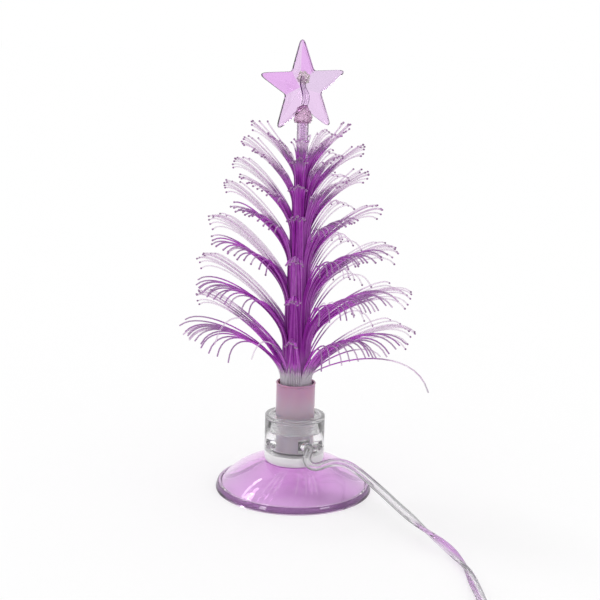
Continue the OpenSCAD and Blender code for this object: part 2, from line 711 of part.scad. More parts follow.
suction_cup();
holder_barrel();
top_ring();
lamp_holder();
cord_clip();
circuit_board();
chip_resistor();
lamp();
lamp_legs();
shrink_sleeves();
wire_tails();
sleeve();
bundle_ferrule();
fibre_bundle();
fibre_tier(0);  // fibre_tier_1
fibre_tier(1);  // fibre_tier_2
fibre_tier(2);  // fibre_tier_3
fibre_tier(3);  // fibre_tier_4
fibre_tier(4);  // fibre_tier_5
fibre_tier(5);  // fibre_tier_6
fibre_tier(6);  // fibre_tier_7
stem_tube();
stem_core();
star_socket();
star_stalk();
star_glue();
star();
lead_run();
lead_coil();
coil_tie();
lead_tail();
plug_strain_relief();
plug_grip();
plug_shell();
plug_tongue();
plug_contacts();
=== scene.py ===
"""Small fibre optic tree on a suction cup: its looks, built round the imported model.

Each sub-assembly is a class that holds its sizes, builds its meshes with numpy and dresses them.
Sizes inside the classes are in millimetres and are turned to metres when a mesh is made.
"""

import logging
import math
from dataclasses import dataclass
from enum import Enum
from functools import cache
from typing import Sequence

import bmesh
import bpy
import numpy as np
from mathutils import Matrix, Vector


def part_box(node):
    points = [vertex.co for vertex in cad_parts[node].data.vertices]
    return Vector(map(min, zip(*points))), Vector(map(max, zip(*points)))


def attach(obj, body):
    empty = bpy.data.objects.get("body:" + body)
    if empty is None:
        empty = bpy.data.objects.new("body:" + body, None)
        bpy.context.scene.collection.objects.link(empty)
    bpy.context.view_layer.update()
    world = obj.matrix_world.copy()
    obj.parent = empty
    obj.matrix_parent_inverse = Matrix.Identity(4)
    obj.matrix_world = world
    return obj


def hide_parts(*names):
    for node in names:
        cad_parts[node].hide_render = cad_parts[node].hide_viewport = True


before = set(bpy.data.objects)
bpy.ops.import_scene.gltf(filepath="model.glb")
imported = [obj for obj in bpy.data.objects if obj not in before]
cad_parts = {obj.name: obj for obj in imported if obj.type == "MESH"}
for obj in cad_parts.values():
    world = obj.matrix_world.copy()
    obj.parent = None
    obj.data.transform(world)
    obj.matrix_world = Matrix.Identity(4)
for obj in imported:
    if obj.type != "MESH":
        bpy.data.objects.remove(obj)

log = logging.getLogger("fibre_tree")

MM = 0.001
EYE = (0.7, -445.7, 167.2)
UP = (0.0, 0.0, 1.0)

Span = tuple[float, float]
Point = tuple[float, float, float]
Colour = tuple[float, float, float]
Stops = tuple[tuple[float, Colour], ...]
Array = np.ndarray
Shape = tuple[Array, Array]
Socket = bpy.types.NodeSocket
Value = Socket | Vector | Colour | float

WHITE: Colour = (1.0, 1.0, 1.0)


class Body(str, Enum):
    """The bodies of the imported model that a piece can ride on."""

    HOLDER = "holder"
    CUP = "cup"
    TREE = "tree"


def node_box(node: str) -> tuple[Array, Array]:
    """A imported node's lowest and highest corners, in millimetres."""
    low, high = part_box(node)
    return np.array(low) / MM, np.array(high) / MM


def columns(*values: Array | float) -> Array:
    """Points from their coordinates, each an array or one number for all."""
    return np.stack(np.broadcast_arrays(*values), axis=-1)


def along(angle: float | Array, r: float | Array, z: float | Array) -> Array:
    """Points at a turn from the front, a distance from the axis and a height.

    Args:
        angle: Degrees from the front, -Y, towards +X.
        r: Distance from the axis.
        z: Height.

    Returns:
        Points with x = r sin(angle), y = -r cos(angle).
    """
    a = np.radians(angle)
    return columns(r * np.sin(a), -r * np.cos(a), z)


def smooth_step(low: float, high: float, x: Array) -> Array:
    """Eased rise from 0 at low to 1 at high: 3t^2 - 2t^3."""
    t = np.clip((x - low) / (high - low), 0, 1)
    return t * t * (3 - 2 * t)


def hump(rise: Span, fall: Span, x: Array, fade: float = 1.0) -> Array:
    """Eased rise from 0 to 1 over one span, and fall by fade over another."""
    return smooth_step(*rise, x) * (1 - fade * smooth_step(*fall, x))


def unit(v: Array) -> Array:
    """Vectors scaled to length 1."""
    return v / np.maximum(np.linalg.norm(v, axis=-1, keepdims=True), 1e-12)


def circle(radius: float, sides: int) -> Array:
    """Points of a circle, as (u, v) pairs."""
    a = np.linspace(0, 2 * np.pi, sides, endpoint=False)
    return radius * columns(np.cos(a), np.sin(a))


def grid_faces(rows: int, sides: int) -> Array:
    """Quads between rings of points that are numbered ring by ring, each with as many sides."""
    r, c = np.meshgrid(np.arange(rows - 1), np.arange(sides), indexing="ij")
    a, b = r * sides + c, r * sides + (c + 1) % sides
    return columns(a, b, b + sides, a + sides).reshape(-1, 4)


def filleted(corners: Sequence[Sequence[float]] | Array, steps: int = 5) -> Array:
    """Closed outline with its corners rounded.

    Each corner P becomes a quadratic curve from P + r u to P + r v, where u and v point at its
    neighbours, with P as the curve's control point.

    Args:
        corners: Corners in order, each as (across, up, cut length), with 0 to keep it sharp.
        steps: Points that each corner turns into.

    Returns:
        The points of the rounded outline.
    """
    rows = np.array(corners, float)
    p, wanted = rows[:, :2], rows[:, 2]
    before, after = np.roll(p, 1, 0) - p, np.roll(p, -1, 0) - p
    reach = np.minimum(np.linalg.norm(before, axis=1), np.linalg.norm(after, axis=1)) * 0.49
    cut = np.minimum(wanted, reach)[:, None]
    start, end = p + cut * unit(before), p + cut * unit(after)
    t = np.linspace(0, 1, steps)[None, :, None]
    curve = (1 - t) ** 2 * start[:, None] + 2 * t * (1 - t) * p[:, None] + t**2 * end[:, None]
    points = curve.reshape(-1, 2)
    return points[np.linalg.norm(points - np.roll(points, 1, 0), axis=1) > 1e-6]


def spline(points: Array, count: int, steps: int = 24) -> Array:
    """Smooth curve through points, evenly spaced along its length.

    Catmull-Rom: between b and c, with neighbours a and d, the point at t is
    0.5 (2b + (c - a) t + (2a - 5b + 4c - d) t^2 + (3b - a - 3c + d) t^3).

    Args:
        points: Points to pass through.
        count: Number of points wanted.
        steps: Steps between two of the points, before the spacing is made even.

    Returns:
        The curve's points.
    """
    p = np.vstack([2 * points[0] - points[1], points, 2 * points[-1] - points[-2]])
    t = np.linspace(0, 1, steps, endpoint=False)[None, :, None]
    a, b, c, d = (p[i : len(p) - 3 + i, None] for i in range(4))
    fine = 0.5 * (2 * b + (c - a) * t + (2 * a - 5 * b + 4 * c - d) * t**2 + (3 * b - a - 3 * c + d) * t**3)
    fine = np.vstack([fine.reshape(-1, p.shape[1]), p[-2:-1]])
    run = distances(fine)
    wanted = np.linspace(0, run[-1], count)
    return columns(*(np.interp(wanted, run, values) for values in fine.T))


def distances(path: Array) -> Array:
    """Distance along a path at each of its points."""
    return np.concatenate([[0], np.cumsum(np.linalg.norm(np.diff(path, axis=0), axis=1))])


def turned(outline: Array, sides: int = 128) -> Shape:
    """Surface of revolution of a closed outline of (r, z) points about Z.

    Args:
        outline: Points as (distance from the axis, height).
        sides: Number of points round the axis.

    Returns:
        Points and quads. Point (i, k) is (r_i cos a_k, r_i sin a_k, z_i).
    """
    a = np.linspace(0, 2 * np.pi, sides, endpoint=False)
    r, z = outline.T[:, :, None]
    points = columns(r * np.cos(a), r * np.sin(a), z)
    return np.vstack([points.reshape(-1, 3), points[0]]), grid_faces(len(outline) + 1, sides)


def swept(path: Array, section: Array, across: Array) -> Shape:
    """Closed solid with one section carried along a path.

    Point k of ring i is path_i + u_k across_i + v_k up_i, where up is the path's direction crossed
    with across. Both ends are closed by a point in their middle.

    Args:
        path: Points of the centreline.
        section: Outline as (u, v) pairs.
        across: Direction of u at each point, made square to the path here.

    Returns:
        Points and quads. The quads at the ends repeat their middle point.
    """
    ahead = unit(np.gradient(path, axis=0))
    side = unit(across - ahead * np.sum(across * ahead, axis=1, keepdims=True))
    up = np.cross(ahead, side)
    u, v = section[:, 0], section[:, 1]
    rings = path[:, None] + (u[:, None] * side[:, None] + v[:, None] * up[:, None])
    sides = len(section)
    first, last = (np.repeat(path[i, None, None], sides, 1) for i in (0, -1))
    return np.concatenate([first, rings, last]).reshape(-1, 3), grid_faces(len(path) + 2, sides)


class Graph:
    """Node tree of a material or of the world, with short ways to add nodes and read patterns."""

    def __init__(self, owner: bpy.types.Material | bpy.types.World) -> None:
        """Starts the owner's tree afresh."""
        owner.use_nodes = True
        self.owner = owner
        self.tree = owner.node_tree
        self.tree.nodes.clear()

    def add(self, kind: str, feeds: dict[str | int, Value] | None = None, **settings: str) -> bpy.types.Node:
        """Adds a shader node of a kind, sets its properties, and feeds its inputs.

        Args:
            kind: The node's type, without the words ShaderNode.
            feeds: What goes into each input, by its name or number.
            **settings: The node's properties.

        Returns:
            The node.
        """
        node = self.tree.nodes.new("ShaderNode" + kind)
        for key, value in settings.items():
            setattr(node, key, value)
        for key, value in (feeds or {}).items():
            self.feed(value, node.inputs[key])
        return node

    def feed(self, value: Value, target: Socket) -> None:
        """Links a socket, or sets a number, a direction or a colour."""
        if isinstance(value, Socket):
            self.tree.links.new(value, target)
        else:
            target.default_value = (*value, 1.0) if target.type == "RGBA" else value

    def shader(self, kind: str, **inputs: Value) -> Socket:
        """A shader of a kind, with inputs fed by name, where _ stands for a space."""
        return self.add(kind, {key.replace("_", " "): value for key, value in inputs.items()}).outputs[0]

    def mixed(self, share: Socket | float, first: Socket, second: Socket) -> Socket:
        """Two shaders mixed by a share, from 0 for the first to 1 for the second."""
        return self.add("MixShader", {0: share, 1: first, 2: second}).outputs[0]

    def number(self, operation: str, a: Socket | float, b: Socket | float) -> Socket:
        """Result of a sum on two values."""
        return self.add("Math", {0: a, 1: b}, operation=operation).outputs[0]

    def product(self, first: Socket | float, *others: Socket | float) -> Socket:
        """Product of some values."""
        for other in others:
            first = self.number("MULTIPLY", first, other)
        return first

    def toward(self, ray: Socket, axis: Vector) -> Socket:
        """Share of a ray's direction along an axis."""
        return self.add("VectorMath", {0: ray, 1: axis}, operation="DOT_PRODUCT").outputs["Value"]

    def times(self, share: Socket | float, a: Socket | Colour, b: Socket | Colour) -> Socket:
        """Colour a, multiplied by colour b to a share."""
        feeds = {"Factor": share, "A": a, "B": b}
        return self.add("Mix", feeds, data_type="RGBA", blend_type="MULTIPLY").outputs["Result"]

    def attribute(self, name: str) -> Socket:
        """The piece's own number at each point."""
        return self.add("Attribute", attribute_name=name).outputs["Fac"]

    def place(self) -> Socket:
        """The piece's own coordinates, in metres in the shared frame."""
        return self.add("TexCoord").outputs["Object"]

    def noise(self, scale: float, detail: float = 3.0, stretch: Point | None = None) -> Socket:
        """Noise over the piece's coordinates.

        Args:
            scale: Repeats in a metre.
            detail: Octaves.
            stretch: Scale along each axis before the noise is read.

        Returns:
            The noise's value.
        """
        where = self.place()
        if stretch:
            where = self.add("Mapping", {"Vector": where, "Scale": stretch}).outputs["Vector"]
        return self.add("TexNoise", {"Vector": where, "Scale": scale, "Detail": detail}).outputs["Fac"]

    def span(
        self, source: Socket, low: float, high: float, reads: Span = (0.0, 1.0), eased: bool = False
    ) -> Socket:
        """Maps a value from one range to another.

        Args:
            source: The value.
            low: Result at the first end.
            high: Result at the second end.
            reads: The value's own range.
            eased: Whether the change is eased at both ends.

        Returns:
            The mapped value.
        """
        feeds = {"Value": source, "From Min": reads[0], "From Max": reads[1], "To Min": low, "To Max": high}
        kind = "SMOOTHSTEP" if eased else "LINEAR"
        return self.add("MapRange", feeds, interpolation_type=kind).outputs["Result"]

    def ramp(self, source: Socket, stops: Stops) -> Socket:
        """Colour that a value picks from stops, which are pairs of value and colour in order."""
        node = self.add("ValToRGB", {"Fac": source})
        elements = node.color_ramp.elements
        while len(elements) < len(stops):
            elements.new(0.5)
        for element, (position, colour) in zip(elements, stops):
            element.position = position
            element.color = (*colour, 1.0)
        return node.outputs["Color"]

    def painted_edge_shade(self, inside: Socket | Colour, edge: Colour, start: float) -> Socket:
        """Painted edge shade: a tint that deepens where the surface turns away, in place of the darker
        refraction at the edges of thick clear plastic.

        Args:
            inside: Tint where the surface faces the eye.
            edge: Tint it is multiplied by where the surface is seen edge on.
            start: Share of the turn where it starts to deepen.

        Returns:
            The tint.
        """
        turned_away = self.add("LayerWeight").outputs["Facing"]
        return self.times(self.span(turned_away, 0.0, 1.0, (start, 0.98)), inside, edge)

    def bump(self, height: Socket, strength: float, distance: float) -> Socket:
        """Normal bumped by a pattern, at the share and to the distance in metres given."""
        feeds = {"Height": height, "Strength": strength, "Distance": distance}
        return self.add("Bump", feeds).outputs["Normal"]

    def finish(self, shader: Socket) -> bpy.types.Material | bpy.types.World:
        """Ends the tree in a shader and returns its owner."""
        kind = "OutputWorld" if isinstance(self.owner, bpy.types.World) else "OutputMaterial"
        self.add(kind, {"Surface": shader})
        return self.owner


@dataclass(frozen=True)
class Finish:
    """Look of a surface."""

    name: str

    def graph(self) -> Graph:
        """Starts the material's tree."""
        return Graph(bpy.data.materials.new(self.name))

    def make(self) -> bpy.types.Material:
        """Builds the material."""
        raise NotImplementedError(self.name)


@dataclass(frozen=True)
class Moulded(Finish):
    """Opaque moulded plastic or rubber, with a fine grain."""

    colour: Colour
    roughness: float = 0.45
    speckle: float = 0.06
    grain: float = 2500.0
    height: float = 0.00003
    metal: float = 0.0

    def make(self) -> bpy.types.Material:
        """Builds the material: noise varies its colour and roughness and lifts its surface."""
        g = self.graph()
        broad, fine = g.noise(160.0), g.noise(self.grain, 4.0)
        dark = tuple(c * (1 - self.speckle) for c in self.colour)
        light = tuple(min(1.0, c * (1 + self.speckle)) for c in self.colour)
        return g.finish(g.shader(
            "BsdfPrincipled", Metallic=self.metal, Base_Color=g.ramp(broad, ((0.3, dark), (0.7, light))),
            Roughness=g.span(fine, self.roughness * 0.8, min(1.0, self.roughness * 1.2)),
            Normal=g.bump(fine, 0.4, self.height)))


@dataclass(frozen=True)
class Metal(Moulded):
    """Plated or drawn metal, with a finer grain than plastic."""

    speckle: float = 0.05
    grain: float = 900.0
    height: float = 0.00001
    metal: float = 1.0


@dataclass(frozen=True)
class Clear(Finish):
    """Clear or tinted plastic that light passes, with faint moulding waves and haze.

    The tint is one colour, or follows the piece's own dye_and_painted_light attribute, and may deepen at its
    edges as painted edge shade.
    """

    tint: Colour
    passes: Colour
    roughness: float = 0.02
    ior: float = 1.49
    waves: float = 0.05
    wave_scale: float = 120.0
    haze: float = 0.0
    haze_colour: Colour = WHITE
    dyes_and_painted_light: Stops = ()
    edge: Colour | None = None
    edge_from: float = 0.85

    def make(self) -> bpy.types.Material:
        """Builds the material: noise waves bend its surface, and the light of lamps passes tinted."""
        g = self.graph()
        tint = g.ramp(g.attribute("dye_and_painted_light"), self.dyes_and_painted_light) if self.dyes_and_painted_light else self.tint
        # Painted edge shade: the tint darkens where the surface turns away from the eye.
        if self.edge:
            tint = g.painted_edge_shade(tint, self.edge, self.edge_from)
        wave = g.noise(self.wave_scale, 2.0)
        seen = g.shader(
            "BsdfPrincipled", Base_Color=tint, Transmission_Weight=1.0, IOR=self.ior,
            Roughness=g.span(wave, self.roughness * 0.6, self.roughness * 1.4),
            Normal=g.bump(wave, self.waves, 0.0004))
        if self.haze:
            cloudy = g.span(g.noise(90.0, 2.0), self.haze * 0.85, self.haze * 1.15)
            seen = g.mixed(cloudy, seen, g.shader("BsdfDiffuse", Color=self.haze_colour))
        lamp = g.add("LightPath").outputs["Is Shadow Ray"]
        return g.finish(g.mixed(lamp, seen, g.shader("BsdfTransparent", Color=self.passes)))


@dataclass(frozen=True)
class DyedFibre(Finish):
    """Optical fibre, from clear to deep purple, with near-black painted shade at the top, by the piece's own
    dye_and_painted_light attribute.

    Where the piece's clear attribute is above 0, it shows what is behind it, but less so at its edges.
    """

    roughness: float = 0.3
    specular: float = 0.3
    coat: float = 0.15
    coat_roughness: float = 0.12
    glow: float = 0.38
    edge_blend: float = 0.35
    clear_inside: float = 0.95
    clear_edge: float = 0.25
    streak: Stops = ((0.3, (0.84, 0.80, 0.85)), (0.7, WHITE))
    # The last stop's near black is painted shade, for the gaps between the fibres.
    stops: Stops = (
        (0.0, (0.82, 0.78, 0.83)), (0.04, (0.80, 0.75, 0.81)), (0.065, (0.86, 0.74, 0.86)),
        (0.14, (0.86, 0.65, 0.87)), (0.22, (0.56, 0.37, 0.59)), (0.34, (0.62, 0.28, 0.68)),
        (0.56, (0.80, 0.24, 0.86)), (0.80, (0.56, 0.04, 0.64)), (1.0, (0.16, 0.0, 0.20)),
    )

    def make(self) -> bpy.types.Material:
        """Builds the material: dye and painted shade pick the colour, and clear stretches let light through.
        """
        g = self.graph()
        streak = g.ramp(g.noise(900.0, 2.0, (1.0, 1.0, 0.15)), self.streak)
        tinted = g.times(1.0, g.ramp(g.attribute("dye_and_painted_light"), self.stops), streak)
        gloss = g.shader(
            "BsdfPrincipled", Base_Color=tinted, Roughness=self.roughness, Specular_IOR_Level=self.specular,
            Coat_Weight=self.coat, Coat_Roughness=self.coat_roughness)
        lit = g.mixed(self.glow, gloss, g.shader("BsdfTranslucent", Color=tinted))
        facing = g.add("LayerWeight", {"Blend": self.edge_blend}).outputs["Facing"]
        seen = g.product(g.attribute("clear"), g.span(facing, self.clear_inside, self.clear_edge))
        return g.finish(g.mixed(seen, lit, g.shader("BsdfTransparent")))


@dataclass(frozen=True)
class SleevePlastic(Finish):
    """Thin translucent tube: rose near its mouth, grey towards its foot."""

    top_z: float
    length: float = 26.0
    rose: Colour = (0.47, 0.25, 0.39)
    grey: Colour = (0.48, 0.38, 0.46)
    foot: Colour = (0.44, 0.35, 0.45)

    def make(self) -> bpy.types.Material:
        """Builds the material: height picks the colour, and cloudy noise breaks it up."""
        g = self.graph()
        split = g.add("SeparateXYZ", {0: g.place()})
        height = g.span(split.outputs["Z"], 0.0, 1.0, ((self.top_z - self.length) * MM, self.top_z * MM))
        mixed = g.number("ADD", height, g.span(g.noise(130.0), -0.07, 0.07))
        stops = ((0.1, self.foot), (0.35, self.foot), (0.52, self.grey), (0.92, self.rose))
        return g.finish(g.shader(
            "BsdfPrincipled", Base_Color=g.ramp(mixed, stops), Roughness=0.32, Subsurface_Weight=0.25,
            Subsurface_Scale=0.0015, Normal=g.bump(g.noise(500.0, 2.0, (1.0, 1.0, 0.2)), 0.12, 0.0002)))


@dataclass(frozen=True)
class FloorPaper(Finish):
    """White paper, whose shadows the eye sees at part strength."""

    colour: float = 0.975
    mottle: float = 0.002
    lift: float = 0.5

    def make(self) -> bpy.types.Material:
        """Builds the material: faint mottling, and plain white mixed in for the eye."""
        g = self.graph()
        dull, light = (self.colour - self.mottle,) * 3, (self.colour + self.mottle,) * 3
        paper = g.shader("BsdfDiffuse", Color=g.ramp(g.noise(60.0, 2.0), ((0.3, dull), (0.7, light))))
        eye = g.span(g.add("LightPath").outputs["Is Camera Ray"], 0.0, self.lift)
        return g.finish(g.mixed(eye, paper, g.shader("Emission", Strength=1.0)))


@cache
def material(finish: Finish) -> bpy.types.Material:
    """A finish's material, made once."""
    return finish.make()


CUP_PINK = (0.87, 0.66, 0.90)
# Painted highlight: the pale pink of the bright line above the rim band and of the streaks on the hollow's
# wall.
CUP_PAINTED_HIGHLIGHT = (1.0, 0.92, 1.0)
# Painted shade: the dark purple of the cup's rim band, in place of the dark surroundings that the real rim
# refracts.
CUP_PAINTED_RIM_SHADE = (0.16, 0.07, 0.19)
CUP = Clear("cup_vinyl", CUP_PINK, (0.92, 0.78, 0.94), 0.015, 1.52, 0.08, 90.0, dyes_and_painted_light=(
    (0.0, (0.85, 0.36, 0.86)), (0.3, (0.83, 0.49, 0.85)), (0.6, CUP_PINK), (0.76, CUP_PINK),
    (0.80, CUP_PAINTED_HIGHLIGHT), (0.86, CUP_PAINTED_HIGHLIGHT), (0.92, CUP_PAINTED_RIM_SHADE), (1.0, CUP_PAINTED_RIM_SHADE)))
# The edge colours of the clear finishes below are painted edge shade: they darken each piece where it turns
# away from the eye.
ACRYLIC = Clear("clear_acrylic", (0.99, 0.99, 0.995), (0.97, 0.97, 0.975), 0.01, 1.49, 0.03, 220.0,
                haze=0.03, haze_colour=(0.97, 0.97, 0.97), edge=(0.4, 0.4, 0.42))
FROSTED = Clear("frosted_foot", (0.99, 0.99, 0.995), (0.97, 0.97, 0.975), 0.04, 1.49, 0.03, 220.0,
                haze=0.75, edge=(0.3, 0.3, 0.32))
RING = Clear("clear_ring", (0.98, 0.98, 0.985), (0.95, 0.95, 0.955), 0.04, waves=0.12, wave_scale=500.0,
             haze=0.12, edge=(0.3, 0.3, 0.32), edge_from=0.8)
STAR = Clear("star_tint", (0.83, 0.61, 0.87), (0.93, 0.82, 0.95), edge=(0.35, 0.2, 0.38), edge_from=0.8)
# Painted light and shade: deeper and paler copies of the star's tint, for facets that face the light less or
# more.
STAR_PAINTED_SHADE = Clear("star_painted_shade", (0.80, 0.45, 0.86), (0.93, 0.80, 0.95))
STAR_PAINTED_LIGHT = Clear("star_painted_light", (0.77, 0.60, 0.82), (0.94, 0.86, 0.95))
# Painted shade: the dark tint of the star's side wall, as the clear wall looks when seen edge on.
STAR_PAINTED_SIDE_SHADE = Clear("star_painted_side_shade", (0.40, 0.18, 0.48), (0.80, 0.60, 0.84), 0.03, waves=0.1, wave_scale=300.0)
STEM = Clear("stem_tint", (0.96, 0.86, 0.97), (0.95, 0.87, 0.97), 0.03, waves=0.06, wave_scale=220.0,
             haze=0.15, haze_colour=(0.92, 0.78, 0.95))
GLUE = Clear("glue", (0.96, 0.93, 0.88), (0.93, 0.90, 0.90), 0.04, 1.48, 0.5, 420.0,
             haze=0.4, haze_colour=(0.95, 0.92, 0.86), edge=(0.04, 0.02, 0.05), edge_from=0.35)
COLLAR = Clear("collar_glue", (0.72, 0.46, 0.68), (0.93, 0.84, 0.92), 0.04, 1.48, 0.5, 420.0,
               haze=0.1, haze_colour=(0.70, 0.50, 0.58), edge=(0.06, 0.02, 0.06), edge_from=0.35)
# Painted shade: the strip's near-black tint, for its dark edges and flute.
STRIP = Clear("strip_film", (0.90, 0.80, 0.92), (0.93, 0.88, 0.94), 0.02, 1.52, 0.3, 300.0,
              dyes_and_painted_light=((0.0, (0.94, 0.86, 0.95)), (0.45, (0.74, 0.60, 0.78)), (1.0, (0.01, 0.0, 0.02))),
              edge=(0.04, 0.02, 0.06), edge_from=0.4)
# Painted shade: the dark grey at the foot of the lead's ramp and its edge colour, for the dark edges of the
# clear wires.
LEAD = Clear("lead_vinyl", (0.97, 0.96, 0.98), (0.90, 0.88, 0.92), 0.01, 1.3, 0.0, 300.0, haze=0.12,
             dyes_and_painted_light=((0.0, (0.10, 0.10, 0.11)), (0.3, (0.99, 0.98, 0.99)), (1.0, (0.60, 0.26, 0.67))),
             edge=(0.08, 0.08, 0.09), edge_from=0.4)
LAMP = Clear("lamp_resin", (0.95, 0.95, 0.97), (0.9, 0.9, 0.92), 0.02, 1.5, wave_scale=220.0)
FIBRE = DyedFibre("fibre")
BEAD = Moulded("fibre_bead", (0.34, 0.16, 0.36), 0.15, 0.3, 900.0)
STEM_CORE = Moulded("stem_core", (0.86, 0.62, 0.90), 0.25, 0.12, 700.0)
STRANDS = Moulded("lead_strands", (0.93, 0.93, 0.94), 0.3, 0.06, 1800.0, metal=0.2)
WHITE_PLASTIC = Moulded("white_plastic", (0.82, 0.82, 0.80), 0.4)
PLUG_VINYL = Moulded("plug_vinyl", (0.66, 0.66, 0.68), 0.42)
INNER_FINISHES: dict[str, Finish] = {
    "lamp_holder": WHITE_PLASTIC,
    "cord_clip": Moulded("grey_clip", (0.09, 0.09, 0.10), 0.5),
    "circuit_board": Moulded("board_laminate", (0.02, 0.14, 0.05), 0.35),
    "chip_resistor": Moulded("chip_ceramic", (0.02, 0.02, 0.022), 0.5),
    "lamp": LAMP,
    "lamp_legs": Metal("tinned_wire", (0.60, 0.60, 0.62), 0.25),
    "shrink_sleeves": Moulded("shrink_tube", (0.02, 0.02, 0.022), 0.4),
    "wire_tails": WHITE_PLASTIC,
    "bundle_ferrule": Metal("ferrule_metal", (0.55, 0.56, 0.57), 0.28),
    "fibre_bundle": FIBRE,
    "coil_tie": Moulded("tie_strap", (0.045, 0.045, 0.05), 0.5),
    "plug_strain_relief": PLUG_VINYL,
    "plug_grip": PLUG_VINYL,
    "plug_shell": Metal("shell_steel", (0.62, 0.62, 0.63), 0.22, grain=1200.0),
    "plug_tongue": WHITE_PLASTIC,
    "plug_contacts": Metal("contact_gold", (0.80, 0.56, 0.18), 0.2),
}


def make_mesh(
    name: str,
    shape: Shape,
    finishes: Sequence[Finish],
    slots: Array | None = None,
    values: dict[str, Array] | None = None,
    sharp: float = 40.0,
    weld: bool = True,
) -> bpy.types.Object:
    """A smooth-shaded object at the origin from points in millimetres.

    Args:
        name: The piece's name.
        shape: Points, in millimetres, and the point numbers of each face.
        finishes: Finishes, in slot order.
        slots: Finish slot of each face.
        values: Numbers for each point, to store as attributes.
        sharp: Angle in degrees past which an edge is drawn sharp.
        weld: Whether to merge points that coincide, and turn all faces outwards.

    Returns:
        The object, linked to the scene.
    """
    points, faces = shape
    mesh = bpy.data.meshes.new(name)
    count, corners = faces.shape
    mesh.vertices.add(len(points))
    mesh.vertices.foreach_set("co", (points * MM).astype(np.float32).ravel())
    mesh.loops.add(count * corners)
    mesh.loops.foreach_set("vertex_index", faces.astype(np.int32).ravel())
    mesh.polygons.add(count)
    mesh.polygons.foreach_set("loop_start", np.arange(0, count * corners, corners, dtype=np.int32))
    mesh.polygons.foreach_set("use_smooth", np.ones(count, bool))
    for finish in finishes:
        mesh.materials.append(material(finish))
    if slots is not None:
        mesh.polygons.foreach_set("material_index", slots.astype(np.int32))
    for key, value in (values or {}).items():
        layer = mesh.attributes.new(key, "FLOAT", "POINT")
        layer.data.foreach_set("value", value.astype(np.float32))
    mesh.update(calc_edges=True)
    mesh.validate()
    if weld:
        work = bmesh.new()
        work.from_mesh(mesh)
        bmesh.ops.remove_doubles(work, verts=work.verts, dist=1e-7)
        bmesh.ops.recalc_face_normals(work, faces=work.faces)
        work.to_mesh(mesh)
        work.free()
    mesh.set_sharp_from_angle(angle=math.radians(sharp))
    piece = bpy.data.objects.new(name, mesh)
    bpy.context.scene.collection.objects.link(piece)
    return piece


class Parts:
    """Several shapes gathered into one mesh, with a value of dye and painted light for each point and a
    finish slot for each face.
    """

    def __init__(self) -> None:
        """Starts with nothing."""
        self.count = 0
        self.lists: tuple[list[Array], ...] = ([], [], [], [])

    def add(
        self, points: Array, faces: Array, dye_and_painted_light: Array | float, slots: Array | int = 0
    ) -> None:
        """Adds a shape, its dye and painted light values and its finish slots."""
        dyes_and_painted_light, kinds = np.broadcast_to(dye_and_painted_light, len(points)), np.broadcast_to(slots, len(faces))
        for values, new in zip(self.lists, (points, faces + self.count, dyes_and_painted_light, kinds)):
            values.append(new)
        self.count += len(points)

    def joined(self) -> tuple[Array, ...]:
        """Points, faces, dye and painted light values and slots of everything added."""
        return tuple(np.concatenate(values) for values in self.lists)


def cut_away(piece: bpy.types.Object, shape: Shape, sharp: float) -> None:
    """Cuts a closed shape out of a piece at once, and draws its edges sharp past an angle."""
    cutter = make_mesh("cutter", shape, [])
    cut = piece.modifiers.new("cut", "BOOLEAN")
    cut.operation, cut.object, cut.solver = "DIFFERENCE", cutter, "EXACT"
    graph = bpy.context.evaluated_depsgraph_get()
    result = bpy.data.meshes.new_from_object(piece.evaluated_get(graph))
    piece.modifiers.clear()
    piece.data = result
    piece.data.set_sharp_from_angle(angle=math.radians(sharp))
    bpy.data.objects.remove(cutter)


def settle(piece: bpy.types.Object, body: Body, slot: str, *stands_for: str) -> None:
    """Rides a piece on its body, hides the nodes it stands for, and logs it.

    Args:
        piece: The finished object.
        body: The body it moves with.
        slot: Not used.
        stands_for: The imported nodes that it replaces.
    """
    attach(piece, body.value)
    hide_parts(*stands_for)
    triangles = sum(len(p.vertices) - 2 for p in piece.data.polygons)
    log.info("%s rides on %s, %d triangles", piece.name, body.value, triangles)


def dress_inner() -> None:
    """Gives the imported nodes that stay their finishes."""
    for node, finish in INNER_FINISHES.items():
        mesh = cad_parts[node].data
        mesh.materials.clear()
        mesh.materials.append(material(finish))
        log.info("%s wears %s", node, finish.name)


@dataclass(frozen=True)
class Panel:
    """A bright soft-edged strip of sky that clear pieces mirror, from one direction to another."""

    start: Point
    end: Point
    half: float
    glow: float

    def shape(self, g: Graph, ray: Socket) -> Socket:
        """1 where the ray looks at the strip, 0 elsewhere.

        Args:
            g: The world's tree.
            ray: The ray's direction.

        Returns:
            The strip's value.
        """
        start, end = Vector(self.start), Vector(self.end)
        middle, lengthwise = (start + end).normalized(), (end - start).normalized()
        long = (end - start).length / 2
        level = middle.cross(lengthwise).normalized()
        inside = g.number("GREATER_THAN", g.toward(ray, middle), 0.0)
        for axis, half, soft in ((level, self.half, 0.7), (lengthwise, long, 0.9)):
            away = g.number("ABSOLUTE", g.toward(ray, axis), 0.0)
            inside = g.product(inside, g.span(away, 0.0, 1.0, (half, half * soft), True))
        return inside


